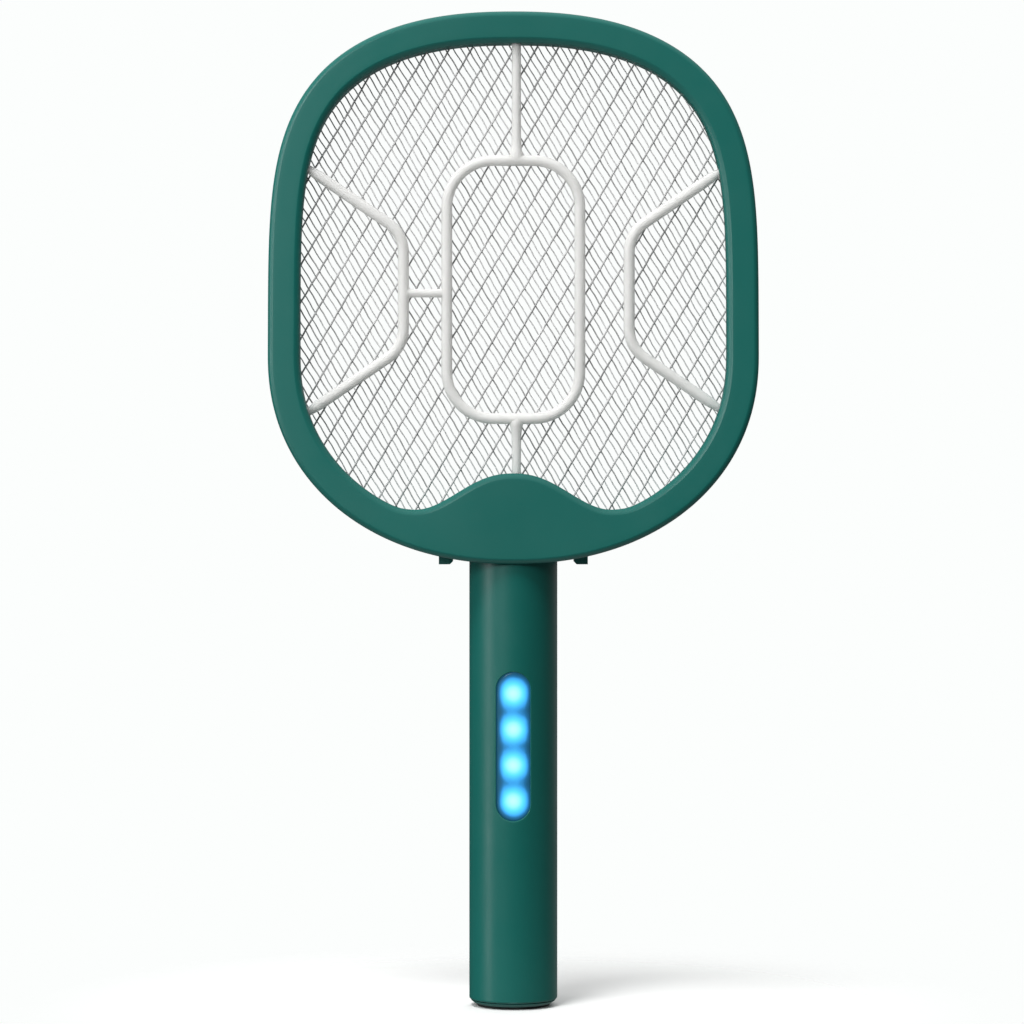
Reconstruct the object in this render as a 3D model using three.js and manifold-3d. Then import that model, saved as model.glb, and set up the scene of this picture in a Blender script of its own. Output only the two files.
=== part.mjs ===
// Hand-held electric insect racket: a ring-shaped head that holds a charged grid between two
// guard meshes, on a round handle with the cell, the electronics and four lamps inside.
//
// Millimetres. +Z is up, the front faces -Y, and the origin is the middle of the foot.
import * as THREE from 'three';
import { mergeVertices } from 'three/addons/utils/BufferGeometryUtils.js';
import Module from 'manifold-3d';

const wasm = await Module();
wasm.setup();
const { Manifold, Mesh: ManifoldMesh } = wasm;

// ---------------------------------------------------------------- driving dimensions

const GAP = 0.3;                    // clearance between neighbouring pieces
const PAST = 1;                     // how far a cut runs past the surface it opens
const MERGE = 0.5;                  // how far joined bodies reach into each other
const TOP_Z = 450;                  // overall height

// Head outline: |x / halfWidth|^m + |z / height|^n = 1, above and below its widest line.
const HEAD_MID_Z = 295;
const HEAD_HALF_WIDTH = 110.6;
const CROWN = { height: TOP_Z - HEAD_MID_Z, n: 4.32, m: 2.32 };
const JAW = { height: 94.3, n: 2.16, m: 2.15 };
const CHIN_Z = HEAD_MID_Z - JAW.height;
const RING_WIDTH = 14.3;

// The floor of the opening rises in the middle, over the end of the handle.
const HUMP = { halfWidth: 44.6, valleyZ: 224.8, height: 16.6, fullness: 1.15, blend: 2 };

const FACE_DEPTH = { crown: 14.5, chin: 23.5 };   // mid-plane to face, growing towards the handle
const SHELL_WALL = 2;
const OUTER_EDGE = { across: 2.7, deep: 3 };      // roundings of the ring's two face edges
const INNER_EDGE = { across: 3.4, deep: 3.4 };
const MOUTH_LIP = 6.6;                            // where the shell's inner wall meets the guard

// What lies between the two shells, as distances from the mid-plane.
const GUARD = { from: 5.1, to: 6.1 };
const CARRIER = { from: 0.8, to: 4.8, inner: 0.4, outer: 3.7 };
const GRID = { from: -0.5, to: 0.5 };
const MESH_EDGE = { rim: 1.2, outer: 3.6 };       // past the mouth, under the shells

const WIRE_PITCH = { across: 36, up: 56 };        // one diamond of the simplified mesh
const WIRE_WIDTH = 1.2;

// White braces in front of and behind the guards.
const BRACE_Y = 9;
const HOOP = { from: 6.6, to: 11.2, inner: 2.3, outer: 3.9 };
const LOOP = { halfWidth: 30.1, low: 266.3, high: 383, corner: 21, r: 2.45 };
const SPOKE = { x: 1.4, r: 2.05 };
const SIDE_BRACE = {
  left: { x: -49.7, end: -95.2 },
  right: { x: 52.4, end: 95.2 },
  lowZ: 298.5, highZ: 350, slope: 0.68, corner: 9, r: 2.5,
};
const LINK = { z: 323, r: 1.9 };

const SCREW = { shank: 1, pilot: 1.3, clear: 1.4, head: 2.1, headHeight: 1.5, sink: 3, boss: 3.2 };
const SCREW_INSET = 6.8;            // from the outline to the ring screws
const HEAD_SCREW_ANGLES = [25, 70, 110, 155, 220, 320];
const SCREW_TIP = { head: -5, neck: -9, handle: -9 };
const NECK_SCREW = { x: 25, z: 214 };
const CLIP = {
  x: 30.6, halfWidth: 3.1, halfDepth: 9, low: 200.4, wallTop: 207.8, top: 209.3,
  chamfer: 1.2, flange: 1.5,
};

// Handle: a tube in two halves, with a narrower neck inside the head.
const HANDLE_R = 20;
const HANDLE_BORE = 17.8;
const HANDLE_LOW = 3;
const HANDLE_HIGH = 204;
const NECK = { r: 16.8, bore: 14.6, high: 228 };
const NECK_EAR = { depth: 2.2, reach: 4 };
const HANDLE_SEAT = { below: 10, play: 1.5 };     // the notch in the head that takes the handle
const INSIDE_WALL = 10;                           // a depth inside the handle, clear of its wall
const HANDLE_SCREW_Z = { upper: 192, lower: 79.2 };
const HANDLE_BOSS = 2.9;

// Things in the handle's wall, as centre height, half width and half length.
const WINDOW = { z: 118.6, halfWidth: 7.4, halfLength: 33.2, rim: 2.2, sink: 0.8, inner: 15.9 };
const BUTTON = {
  z: 162, halfWidth: 6.5, halfLength: 11, top: 22, edge: 0.8,
  flange: 1.6, flangeFrom: 14, flangeTo: 15.3,
};
const SLIDER = {
  z: 122, halfWidth: 2.8, halfLength: 3.5, top: 21.6, travel: 3, ridge: 0.4,
  plate: { halfWidth: 5, halfLength: 10.5, from: 14.2, to: 15.6 },
  finger: { half: 1.2, from: 12.2 },
};
const SOCKET = {
  z: 96, halfWidth: 4.5, halfHeight: 1.6, sink: 1.2, wall: 0.4, floor: 4,
  tongue: { halfWidth: 3, halfHeight: 0.35, short: 1 },
};

const LAMP_Z = [142.5, 126.4, 110.3, 94.2];
const LIGHT_BOARD = { halfWidth: 7, low: 86, high: 151, from: -12.2, to: -11 };
const BOARD = { halfWidth: 10.5, low: 85, high: 186, from: 5, to: 6.6 };
const CELL = { r: 9.2, y: 3.6, low: 8.5, high: 73.5, nubR: 3, nubHigh: 74.3 };
const CRADLE = { inner: 9.6, outer: 11.1, low: 6.9, high: 75.8, plate: 1.2, plateHalf: 8, plateFront: 4 };
const LAMP = { half: 2.5, base: 1, domeR: 2, high: 1.8 };
const TRANSFORMER = { z: 166, half: 8, halfHeight: 9, depth: 11, leg: 2.8, windingR: 5 };
const CAPACITOR = { half: 7.5, low: 136, high: 148, depth: 8 };
const RESISTOR = { r: 1.6, x: 4, low: 112, high: 121 };
const ZAP_SWITCH = { half: 3, depth: 3.6, plungerR: 1.7, plungerTo: 12.5 };
const MODE_SWITCH = { halfWidth: 4, halfLength: 7, depth: 4.4 };
const LEAD_R = { highVoltage: 0.9, low: 0.7 };

// ---------------------------------------------------------------- colours and finishes

const FINISH = {
  green: { color: 0x236a63, roughness: 0.45, metalness: 0 },
  white: { color: 0xededea, roughness: 0.4, metalness: 0 },
  wire: { color: 0xa9abab, roughness: 0.35, metalness: 1 },
  steel: { color: 0xb4b6b8, roughness: 0.3, metalness: 1 },
  rubber: { color: 0x1b1f1f, roughness: 0.85, metalness: 0 },
  lens: { color: 0x2b6f86, roughness: 0.2, metalness: 0 },
  lamp: { color: 0xb8f4ff, roughness: 0.3, metalness: 0, emissive: 0x38b6ff },
  circuit: { color: 0x1f5b35, roughness: 0.5, metalness: 0 },
  sleeve: { color: 0x2f66a8, roughness: 0.35, metalness: 0 },
  ferrite: { color: 0x3a3633, roughness: 0.6, metalness: 0 },
  film: { color: 0x8c2f22, roughness: 0.4, metalness: 0 },
  black: { color: 0x232627, roughness: 0.5, metalness: 0 },
  red: { color: 0xb3261e, roughness: 0.45, metalness: 0 },
};

const racket = new THREE.Group();
racket.name = 'electric_bug_zapper';

function addPiece(name, body, finish) {
  const mesh = new THREE.Mesh(toGeometry(body), new THREE.MeshStandardMaterial(FINISH[finish]));
  mesh.name = name;
  racket.add(mesh);
}

// ---------------------------------------------------------------- solids

function toSolid(geometry) {
  const bare = geometry.clone();
  bare.deleteAttribute('normal');
  bare.deleteAttribute('uv');
  const merged = mergeVertices(bare, 1e-4);
  return new Manifold(new ManifoldMesh({
    numProp: 3,
    vertProperties: new Float32Array(merged.attributes.position.array),
    triVerts: new Uint32Array(merged.index.array),
  }));
}

function toGeometry(body) {
  const mesh = body.getMesh();
  const geometry = new THREE.BufferGeometry();
  geometry.setAttribute('position', new THREE.BufferAttribute(new Float32Array(mesh.vertProperties), 3));
  geometry.setIndex(new THREE.BufferAttribute(new Uint32Array(mesh.triVerts), 1));
  geometry.computeVertexNormals();
  return geometry;
}

const union = (...bodies) => Manifold.union(bodies);

function box(low, high) {
  const size = high.map((end, axis) => end - low[axis]);
  const middle = high.map((end, axis) => (end + low[axis]) / 2);
  return toSolid(new THREE.BoxGeometry(...size).translate(...middle));
}

function rodZ(radius, low, high, x = 0, y = 0, sides = 32) {
  const geometry = new THREE.CylinderGeometry(radius, radius, high - low, sides);
  return toSolid(geometry.rotateX(Math.PI / 2).translate(x, y, (low + high) / 2));
}

function rodY(radius, from, to, x, z, sides = 8) {
  const geometry = new THREE.CylinderGeometry(radius, radius, to - from, sides);
  return toSolid(geometry.translate(x, (from + to) / 2, z));
}

// A flat shape drawn in X and Z, given thickness along Y.
function plateY(shape, from, to, arcSteps = 4) {
  const options = { depth: to - from, bevelEnabled: false, curveSegments: arcSteps };
  return toSolid(new THREE.ExtrudeGeometry(shape, options).rotateX(Math.PI / 2).translate(0, to, 0));
}

// A slot with round ends, long way up, or long way across where it is wider than high.
function slotShape(z, halfWidth, halfLength) {
  const r = Math.min(halfWidth, halfLength);
  const alongX = halfWidth - r;
  const alongZ = halfLength - r;
  const shape = new THREE.Shape();
  if (alongZ > 0) {
    shape.absarc(0, z + alongZ, r, 0, Math.PI);
    shape.absarc(0, z - alongZ, r, Math.PI, 2 * Math.PI);
  } else {
    shape.absarc(alongX, z, r, -Math.PI / 2, Math.PI / 2);
    shape.absarc(-alongX, z, r, Math.PI / 2, 1.5 * Math.PI);
  }
  return shape;
}

// A body of revolution about Z. The profile is [radius, height] pairs.
function turned(profile, sides = 36) {
  const points = profile.map(([radius, height]) => new THREE.Vector2(radius, height));
  const closed = points[0].x > 0 ? [...points, points[0].clone()] : points;
  return toSolid(new THREE.LatheGeometry(closed, sides).rotateX(Math.PI / 2));
}

function tubeZ(outer, inner, low, high, sides = 36) {
  return turned([[inner, low], [outer, low], [outer, high], [inner, high]], sides);
}

// A round wire, cable or rib along a curve.
function rodAlong(curve, radius, steps, sides = 6) {
  const circle = new THREE.Shape().absarc(0, 0, radius, 0, 2 * Math.PI);
  const options = { steps, extrudePath: curve, curveSegments: sides / 2 };
  return toSolid(new THREE.ExtrudeGeometry(circle, options));
}

// A closed band: cross-sections of equal length, joined one to the next and the last to the first.
function bandOf(sections) {
  const perSection = sections[0].length;
  const positions = sections.flat().flatMap(point => point.toArray());
  const index = [];
  sections.forEach((section, i) => {
    const here = i * perSection;
    const next = ((i + 1) % sections.length) * perSection;
    section.forEach((_, j) => {
      const k = (j + 1) % perSection;
      index.push(here + j, here + k, next + k, here + j, next + k, next + j);
    });
  });
  const geometry = new THREE.BufferGeometry();
  geometry.setAttribute('position', new THREE.Float32BufferAttribute(positions, 3));
  geometry.setIndex(index);
  const body = toSolid(geometry);
  if (body.volume() > 0) return body;
  for (let i = 0; i < index.length; i += 3) index.splice(i, 3, index[i], index[i + 2], index[i + 1]);
  geometry.setIndex(index);
  return toSolid(geometry);
}

// ---------------------------------------------------------------- curves of the head

// A point (x, z) of the head's outline. The angle turns from +X towards +Z.
function outline(angle) {
  const across = Math.cos(angle);
  const up = Math.sin(angle);
  const { height, n, m } = up >= 0 ? CROWN : JAW;
  return new THREE.Vector2(
    Math.sign(across) * HEAD_HALF_WIDTH * Math.abs(across) ** (2 / m),
    HEAD_MID_Z + Math.sign(up) * height * Math.abs(up) ** (2 / n),
  );
}

// The same curve moved inwards by a distance, or outwards where the distance is negative.
function inset(curve, distance) {
  const step = 1e-4;
  return angle => {
    const along = curve(angle + step).sub(curve(angle - step)).normalize();
    return curve(angle).add(new THREE.Vector2(-along.y, along.x).multiplyScalar(distance));
  };
}

const ringInside = inset(outline, RING_WIDTH);

// The opening: the ring's inside, lifted smoothly over the hump at the bottom.
function mouth(angle) {
  const point = ringInside(angle);
  const reach = Math.min(Math.abs(point.x) / HUMP.halfWidth, 1) ** HUMP.fullness;
  const floor = HUMP.valleyZ + HUMP.height * (1 + Math.cos(Math.PI * reach)) / 2;
  point.y = (point.y + floor + Math.hypot(point.y - floor, HUMP.blend)) / 2;
  return point;
}

const anglesAround = count => Array.from({ length: count }, (_, i) => i / count * 2 * Math.PI);
const RING_SIDES = 56;
const QUARTER = [0, Math.PI / 4, Math.PI / 2];

function faceDepth(z) {
  const drop = (TOP_Z - z) / (TOP_Z - CHIN_Z);
  return FACE_DEPTH.crown + (FACE_DEPTH.chin - FACE_DEPTH.crown) * drop ** 2;
}

// A ring of rectangular section, between two distances past the mouth and two depths.
function ringPastMouth(inner, outer, from, to) {
  return bandOf(anglesAround(RING_SIDES).map(angle => {
    const near = inset(mouth, -inner)(angle);
    const far = inset(mouth, -outer)(angle);
    return [[near, from], [far, from], [far, to], [near, to]]
      .map(([point, y]) => new THREE.Vector3(point.x, y, point.y));
  }));
}

function plateInMouth(outer, from, to) {
  return plateY(new THREE.Shape(anglesAround(RING_SIDES).map(inset(mouth, -outer))), from, to);
}

// ---------------------------------------------------------------- head shells

// The shell's channel section at one angle. side is -1 at the front and 1 at the rear.
function shellSection(angle, side) {
  const place = (point, depth) => new THREE.Vector3(point.x, side * depth, point.y);
  const atRim = (inward, depth) => place(inset(outline, inward)(angle), depth);
  const atMouth = (outward, depth) => place(inset(mouth, -outward)(angle), depth);
  const underRim = (inward, sink) => atRim(inward, faceDepth(outline(angle).y) - sink);
  const underMouth = (outward, sink) => atMouth(outward, faceDepth(mouth(angle).y) - sink);
  const rounded = (edge, put) => QUARTER.map(turn =>
    put(edge.across * (1 - Math.cos(turn)), edge.deep * (1 - Math.sin(turn))));
  return [
    atRim(0, GAP / 2),
    ...rounded(OUTER_EDGE, underRim),
    ...rounded(INNER_EDGE, underMouth).reverse(),
    atMouth(0, MOUTH_LIP),
    atMouth(SHELL_WALL, MOUTH_LIP),
    underMouth(SHELL_WALL, SHELL_WALL),
    underRim(SHELL_WALL, SHELL_WALL),
    atRim(SHELL_WALL, GAP / 2),
  ];
}

function headScrewSpots() {
  const middle = inset(outline, SCREW_INSET);
  const ring = HEAD_SCREW_ANGLES.map(degrees => middle(THREE.MathUtils.degToRad(degrees)));
  return ring.map(point => ({ x: point.x, z: point.y, foot: GAP }));
}

function neckScrewSpots() {
  return [-1, 1].map(side => ({ x: side * NECK_SCREW.x, z: NECK_SCREW.z, foot: NECK_EAR.depth + GAP }));
}

function headShell(side) {
  const spots = [...headScrewSpots(), ...neckScrewSpots()];
  const along = (radius, near, far, { x, z }) =>
    side < 0 ? rodY(radius, -far, -near, x, z) : rodY(radius, near, far, x, z);
  const bosses = spots.map(spot => along(SCREW.boss, spot.foot, faceDepth(spot.z) - SHELL_WALL / 2, spot));
  const holes = spots.map(spot => side < 0
    ? along(SCREW.pilot, 0, faceDepth(spot.z) - 2 * SHELL_WALL, spot)
    : union(
      along(SCREW.clear, 0, faceDepth(spot.z) + PAST, spot),
      along(SCREW.head + GAP, faceDepth(spot.z) - SCREW.sink, faceDepth(spot.z) + PAST, spot)));
  return union(bandOf(anglesAround(RING_SIDES).map(angle => shellSection(angle, side))), ...bosses)
    .subtract(union(
      ...holes,
      rodZ(HANDLE_R + GAP, CHIN_Z - HANDLE_SEAT.below, HANDLE_HIGH + HANDLE_SEAT.play, 0, 0, 36),
      ...[-1, 1].map(clipSlot),
      braceRods(side, GAP)));
}

function clipSlot(side) {
  const reach = CLIP.halfWidth + GAP;
  return box(
    [side * CLIP.x - reach, -CLIP.halfDepth - GAP, CLIP.low - PAST],
    [side * CLIP.x + reach, CLIP.halfDepth + GAP, CLIP.wallTop]);
}

// A clip that snaps through both shells at the foot of the head and holds them together.
function latchClip(side) {
  const { x, halfWidth, halfDepth, low, wallTop, top, chamfer } = CLIP;
  const inner = side * (x - halfWidth);
  const outer = side * (x + halfWidth);
  const tongue = new THREE.Shape([
    new THREE.Vector2(outer, low),
    new THREE.Vector2(outer, top),
    new THREE.Vector2(inner, top),
    new THREE.Vector2(inner, low + chamfer),
    new THREE.Vector2(inner + side * chamfer, low),
  ]);
  const flange = box(
    [side * x - halfWidth - CLIP.flange, -halfDepth - CLIP.flange, wallTop],
    [side * x + halfWidth + CLIP.flange, halfDepth + CLIP.flange, top]);
  return union(plateY(tongue, -halfDepth, halfDepth), flange);
}

function screw(x, z, headFrom, tip) {
  return union(
    rodY(SCREW.shank, tip, headFrom + MERGE, x, z, 8),
    rodY(SCREW.head, headFrom, headFrom + SCREW.headHeight, x, z, 16));
}

// ---------------------------------------------------------------- braces and meshes

const inXZ = (x, z, y) => new THREE.Vector3(x, y, z);

// The rounded oblong in the middle of the opening.
function braceLoop(y, grow) {
  const { halfWidth, low, high, corner, r } = LOOP;
  const corners = [
    [halfWidth - corner, high - corner, 0],
    [corner - halfWidth, high - corner, Math.PI / 2],
    [corner - halfWidth, low + corner, Math.PI],
    [halfWidth - corner, low + corner, 1.5 * Math.PI],
  ];
  const cornerSteps = [0, 1 / 3, 2 / 3, 1].map(part => part * Math.PI / 2);
  const sections = corners.flatMap(([x, z, start]) => cornerSteps.map(turn => {
    const out = new THREE.Vector2(Math.cos(start + turn), Math.sin(start + turn));
    return Array.from({ length: 6 }, (_, i) => {
      const roll = i / 6 * 2 * Math.PI;
      const reach = corner + (r + grow) * Math.cos(roll);
      return inXZ(x + out.x * reach, z + out.y * reach, y + (r + grow) * Math.sin(roll));
    });
  }));
  return bandOf(sections);
}

// A brace beside the loop: an upright with a rounded bend at each end and an arm to the ring.
function sideBrace({ x, end }, y, grow) {
  const { lowZ, highZ, slope, corner, r } = SIDE_BRACE;
  const out = Math.sign(end);
  const rise = slope * Math.abs(end - x);
  const bend = new THREE.Vector2(out, slope).setLength(corner);
  const path = new THREE.CurvePath();
  const point = (px, pz) => inXZ(px, pz, y);
  path.add(new THREE.LineCurve3(point(end, highZ + rise), point(x + bend.x, highZ + bend.y)));
  path.add(new THREE.QuadraticBezierCurve3(
    point(x + bend.x, highZ + bend.y), point(x, highZ), point(x, highZ - corner)));
  path.add(new THREE.LineCurve3(point(x, highZ - corner), point(x, lowZ + corner)));
  path.add(new THREE.QuadraticBezierCurve3(
    point(x, lowZ + corner), point(x, lowZ), point(x + bend.x, lowZ - bend.y)));
  path.add(new THREE.LineCurve3(point(x + bend.x, lowZ - bend.y), point(end, lowZ - rise)));
  return rodAlong(path, r + grow, 16);
}

function straightRod(from, to, radius) {
  return rodAlong(new THREE.LineCurve3(from, to), radius, 1);
}

// All the ribs that cross the opening, thicker by grow where they cut their own notches.
function braceRods(side, grow = 0) {
  const y = side * BRACE_Y;
  const hoopMiddle = (HOOP.inner + HOOP.outer) / 2;
  const top = inset(mouth, -hoopMiddle)(Math.PI / 2).y;
  const bottom = inset(mouth, -hoopMiddle)(-Math.PI / 2).y;
  return union(
    braceLoop(y, grow),
    straightRod(inXZ(SPOKE.x, LOOP.high, y), inXZ(SPOKE.x, top, y), SPOKE.r + grow),
    straightRod(inXZ(SPOKE.x, bottom, y), inXZ(SPOKE.x, LOOP.low, y), SPOKE.r + grow),
    sideBrace(SIDE_BRACE.left, y, grow),
    sideBrace(SIDE_BRACE.right, y, grow),
    straightRod(inXZ(SIDE_BRACE.left.x, LINK.z, y), inXZ(-LOOP.halfWidth, LINK.z, y), LINK.r + grow));
}

function braceFrame(side) {
  const [from, to] = side < 0 ? [-HOOP.to, -HOOP.from] : [HOOP.from, HOOP.to];
  return union(ringPastMouth(HOOP.inner, HOOP.outer, from, to), braceRods(side));
}

// Two crossing sets of slanting wires in a flat rim.
function wireMesh(from, to) {
  const slant = Math.atan2(WIRE_PITCH.up, WIRE_PITCH.across);
  const spacing = WIRE_PITCH.across * Math.sin(slant);
  const span = 1.5 * TOP_Z;
  const count = Math.ceil(HEAD_HALF_WIDTH * 2 / spacing);
  const wires = [];
  for (const turn of [slant, -slant]) {
    for (let i = -count; i <= count; i += 1) {
      const wire = new THREE.BoxGeometry(span, to - from, WIRE_WIDTH);
      wire.translate(0, (from + to) / 2, (i + 0.5) * spacing).rotateY(turn).translate(0, 0, HEAD_MID_Z);
      wires.push(toSolid(wire));
    }
  }
  const plate = plateInMouth(MESH_EDGE.outer, from, to);
  const rim = ringPastMouth(MESH_EDGE.rim, MESH_EDGE.outer, from, to);
  return union(...wires).intersect(plate).add(rim);
}

// ---------------------------------------------------------------- handle

function handleTube() {
  const round = 1;
  const wall = HANDLE_R - HANDLE_BORE;
  return turned([
    [HANDLE_BORE, HANDLE_LOW],
    [HANDLE_R - round, HANDLE_LOW],
    [HANDLE_R - 0.3 * round, HANDLE_LOW + 0.3 * round],
    [HANDLE_R, HANDLE_LOW + round],
    [HANDLE_R, HANDLE_HIGH],
    [NECK.r, HANDLE_HIGH],
    [NECK.r, NECK.high],
    [NECK.bore, NECK.high],
    [NECK.bore, HANDLE_HIGH - wall],
    [HANDLE_BORE, HANDLE_HIGH - wall],
  ]);
}

// Ears on the neck that the two neck screws pass through.
function neckEars(from, to) {
  return union(...[-1, 1].map(side => {
    const { x, z } = NECK_SCREW;
    const [left, right] = [side * (NECK.r - MERGE), side * (x + NECK_EAR.reach)].sort((a, b) => a - b);
    const ear = box([left, from, z - NECK_EAR.reach], [right, to, z + NECK_EAR.reach]);
    return ear.subtract(rodY(SCREW.clear, from - PAST, to + PAST, side * x, z));
  }));
}

function halfSpace(side) {
  const reach = 2 * HANDLE_R;
  const [from, to] = side < 0 ? [-reach, -GAP / 2] : [GAP / 2, reach];
  return box([-reach, from, 0], [reach, to, TOP_Z]);
}

function handleFrontShell() {
  const bosses = Object.values(HANDLE_SCREW_Z).map(z =>
    rodY(HANDLE_BOSS, -HANDLE_BORE - MERGE, -GAP, 0, z)
      .subtract(rodY(SCREW.pilot, -HANDLE_BORE + PAST, 0, 0, z)));
  const window = slotShape(WINDOW.z, WINDOW.halfWidth + GAP, WINDOW.halfLength + GAP);
  return union(handleTube().intersect(halfSpace(-1)), neckEars(-NECK_EAR.depth, -GAP / 2), ...bosses)
    .subtract(plateY(window, -HANDLE_R - PAST, -INSIDE_WALL, 6));
}

function handleRearShell() {
  const spots = Object.values(HANDLE_SCREW_Z);
  const bosses = spots.map(z => rodY(HANDLE_BOSS, GAP, HANDLE_BORE + MERGE, 0, z));
  const holes = spots.map(z => union(
    rodY(SCREW.clear, 0, HANDLE_R, 0, z),
    rodY(SCREW.head + GAP, HANDLE_R - SCREW.sink, HANDLE_R + PAST, 0, z)));
  const throughWall = (shape, steps) => plateY(shape, INSIDE_WALL, HANDLE_R + PAST, steps);
  const slotRun = SLIDER.halfLength + SLIDER.travel + GAP;
  return union(handleTube().intersect(halfSpace(1)), neckEars(GAP / 2, NECK_EAR.depth), ...bosses)
    .subtract(union(
      ...holes,
      throughWall(slotShape(BUTTON.z, BUTTON.halfWidth + GAP, BUTTON.halfLength + GAP), 5),
      throughWall(slotShape(SLIDER.z, SLIDER.halfWidth + GAP, slotRun), 4),
      throughWall(slotShape(SOCKET.z, SOCKET.halfWidth + GAP, SOCKET.halfHeight + GAP), 4)));
}

// A plate that closes the tube, with a bevelled edge outside it and a lip inside it.
function endCap() {
  return turned([
    [0, 1.1], [17.2, 1.1], [19.2, 2.7], [17.4, 2.7], [17.4, 6.2], [15.4, 6.2], [15.4, 3], [0, 3],
  ]);
}

function footPad() {
  return turned([[0, 0], [16.5, 0], [16.5, 0.8], [0, 0.8]]);
}

// The lamp cover fills the window just under the surface, with a rim behind the wall.
function lightLens() {
  const { z, halfWidth, halfLength, rim, sink, inner } = WINDOW;
  const layer = (margin, outer) =>
    plateY(slotShape(z, halfWidth + margin, halfLength + margin), -HANDLE_R, -INSIDE_WALL, 6)
      .intersect(tubeZ(outer, inner, HANDLE_LOW, HANDLE_HIGH));
  return union(layer(0, HANDLE_R - sink), layer(rim, HANDLE_BORE - GAP));
}

// ---------------------------------------------------------------- inside the handle

function lightBoard() {
  const { halfWidth, low, high, from, to } = LIGHT_BOARD;
  return box([-halfWidth, from, low], [halfWidth, to, high]);
}

// A surface-mount lamp: a square base with a round dome facing the window.
function lamp(z) {
  const { half, base, domeR, high } = LAMP;
  const seat = LIGHT_BOARD.from - GAP;
  return union(
    box([-half, seat - base, z - half], [half, seat, z + half]),
    rodY(domeR, seat - high, seat - MERGE, 0, z));
}

function batteryCell() {
  return union(
    rodZ(CELL.r, CELL.low, CELL.high, 0, CELL.y, 24),
    rodZ(CELL.nubR, CELL.high - MERGE, CELL.nubHigh, 0, CELL.y, 12));
}

function batteryCradle() {
  const { inner, outer, low, high, plate, plateHalf, plateFront } = CRADLE;
  const behind = box([-outer, CELL.y, low], [outer, CELL.y + outer, high]);
  const pipe = tubeZ(outer, inner, low, high).translate([0, CELL.y, 0]).intersect(behind);
  const ends = [low, high - plate + GAP].map(z =>
    box([-plateHalf, CELL.y - plateFront, z], [plateHalf, CELL.y + inner + MERGE, z + plate - GAP]));
  return union(pipe, ...ends);
}

function mainBoard() {
  const { halfWidth, low, high, from, to } = BOARD;
  return box([-halfWidth, from, low], [halfWidth, to, high]);
}

// A square ferrite frame round an upright winding.
function transformer() {
  const { z, half, halfHeight, depth, leg, windingR } = TRANSFORMER;
  const back = BOARD.from - GAP;
  const windingHalf = halfHeight - leg + MERGE;
  const core = box([-half, back - depth, z - halfHeight], [half, back, z + halfHeight])
    .subtract(box(
      [leg - half, back - depth - PAST, z + leg - halfHeight],
      [half - leg, back + PAST, z + halfHeight - leg]));
  return union(core, rodZ(windingR, z - windingHalf, z + windingHalf, 0, back - depth / 2, 24));
}

function storageCapacitor() {
  const { half, low, high, depth } = CAPACITOR;
  const back = BOARD.from - GAP;
  return box([-half, back - depth, low], [half, back, high]);
}

function bleedResistor() {
  const { r, x, low, high } = RESISTOR;
  return rodZ(r, low, high, x, BOARD.from - GAP - r, 16);
}

// A push switch on the board, its plunger just short of the pressed button.
function zapSwitch() {
  const { half, depth, plungerR, plungerTo } = ZAP_SWITCH;
  const seat = BOARD.to + GAP;
  return union(
    box([-half, seat, BUTTON.z - half], [half, seat + depth, BUTTON.z + half]),
    rodY(plungerR, seat + depth - MERGE, plungerTo, 0, BUTTON.z));
}

function zapButton() {
  const { z, halfWidth, halfLength, top, edge, flange, flangeFrom, flangeTo } = BUTTON;
  const layer = (margin, from, to) =>
    plateY(slotShape(z, halfWidth + margin, halfLength + margin), from, to, 5);
  return union(
    layer(flange, flangeFrom, flangeTo),
    layer(0, flangeTo - MERGE, top - edge),
    layer(-edge, top - edge - MERGE, top));
}

function modeSwitch() {
  const { halfWidth, halfLength, depth } = MODE_SWITCH;
  const seat = BOARD.to + GAP;
  return box(
    [-halfWidth, seat, SLIDER.z - halfLength],
    [halfWidth, seat + depth, SLIDER.z + halfLength]);
}

// The slider's plate rides behind the wall; its grip stands out through the slot.
function modeSlider() {
  const { z, halfWidth, halfLength, top, ridge, plate, finger } = SLIDER;
  const ridges = [-2, 0, 2].map(step => box(
    [ridge - halfWidth, top - MERGE, z + step - ridge],
    [halfWidth - ridge, top, z + step + ridge]));
  return union(
    plateY(slotShape(z, halfWidth, halfLength), plate.to - MERGE, top - ridge, 4),
    box(
      [-plate.halfWidth, plate.from, z - plate.halfLength],
      [plate.halfWidth, plate.to, z + plate.halfLength]),
    box([-finger.half, finger.from, z - finger.half], [finger.half, plate.from + MERGE, z + finger.half]),
    ...ridges);
}

// A charging socket standing on the board, its mouth just under the handle's surface.
function usbSocket() {
  const { z, halfWidth, halfHeight, sink, wall, floor, tongue } = SOCKET;
  const from = BOARD.to + GAP;
  const to = HANDLE_R - sink;
  const can = plateY(slotShape(z, halfWidth, halfHeight), from, to);
  const hollow = plateY(slotShape(z, halfWidth - wall, halfHeight - wall), from + floor, to + PAST);
  return union(can.subtract(hollow), box(
    [-tongue.halfWidth, from + floor - MERGE, z - tongue.halfHeight],
    [tongue.halfWidth, to - tongue.short, z + tongue.halfHeight]));
}

// ---------------------------------------------------------------- leads

function lead(points, radius) {
  const curve = new THREE.CatmullRomCurve3(points.map(point => new THREE.Vector3(...point)));
  return rodAlong(curve, radius, 4 * (points.length - 1));
}

function highVoltageLead() {
  return lead([
    [5, 3.6, 184], [5.5, 3, 196], [6, 1, 212], [6.5, 0, 226], [6.5, 0, 236.4],
  ], LEAD_R.highVoltage);
}

function guardLead() {
  return lead([
    [-5, 3.6, 184], [-5.5, 1, 196], [-6, -3, 212], [-6.5, -5.6, 226], [-6.5, -5.6, 236.4],
  ], LEAD_R.highVoltage);
}

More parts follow.
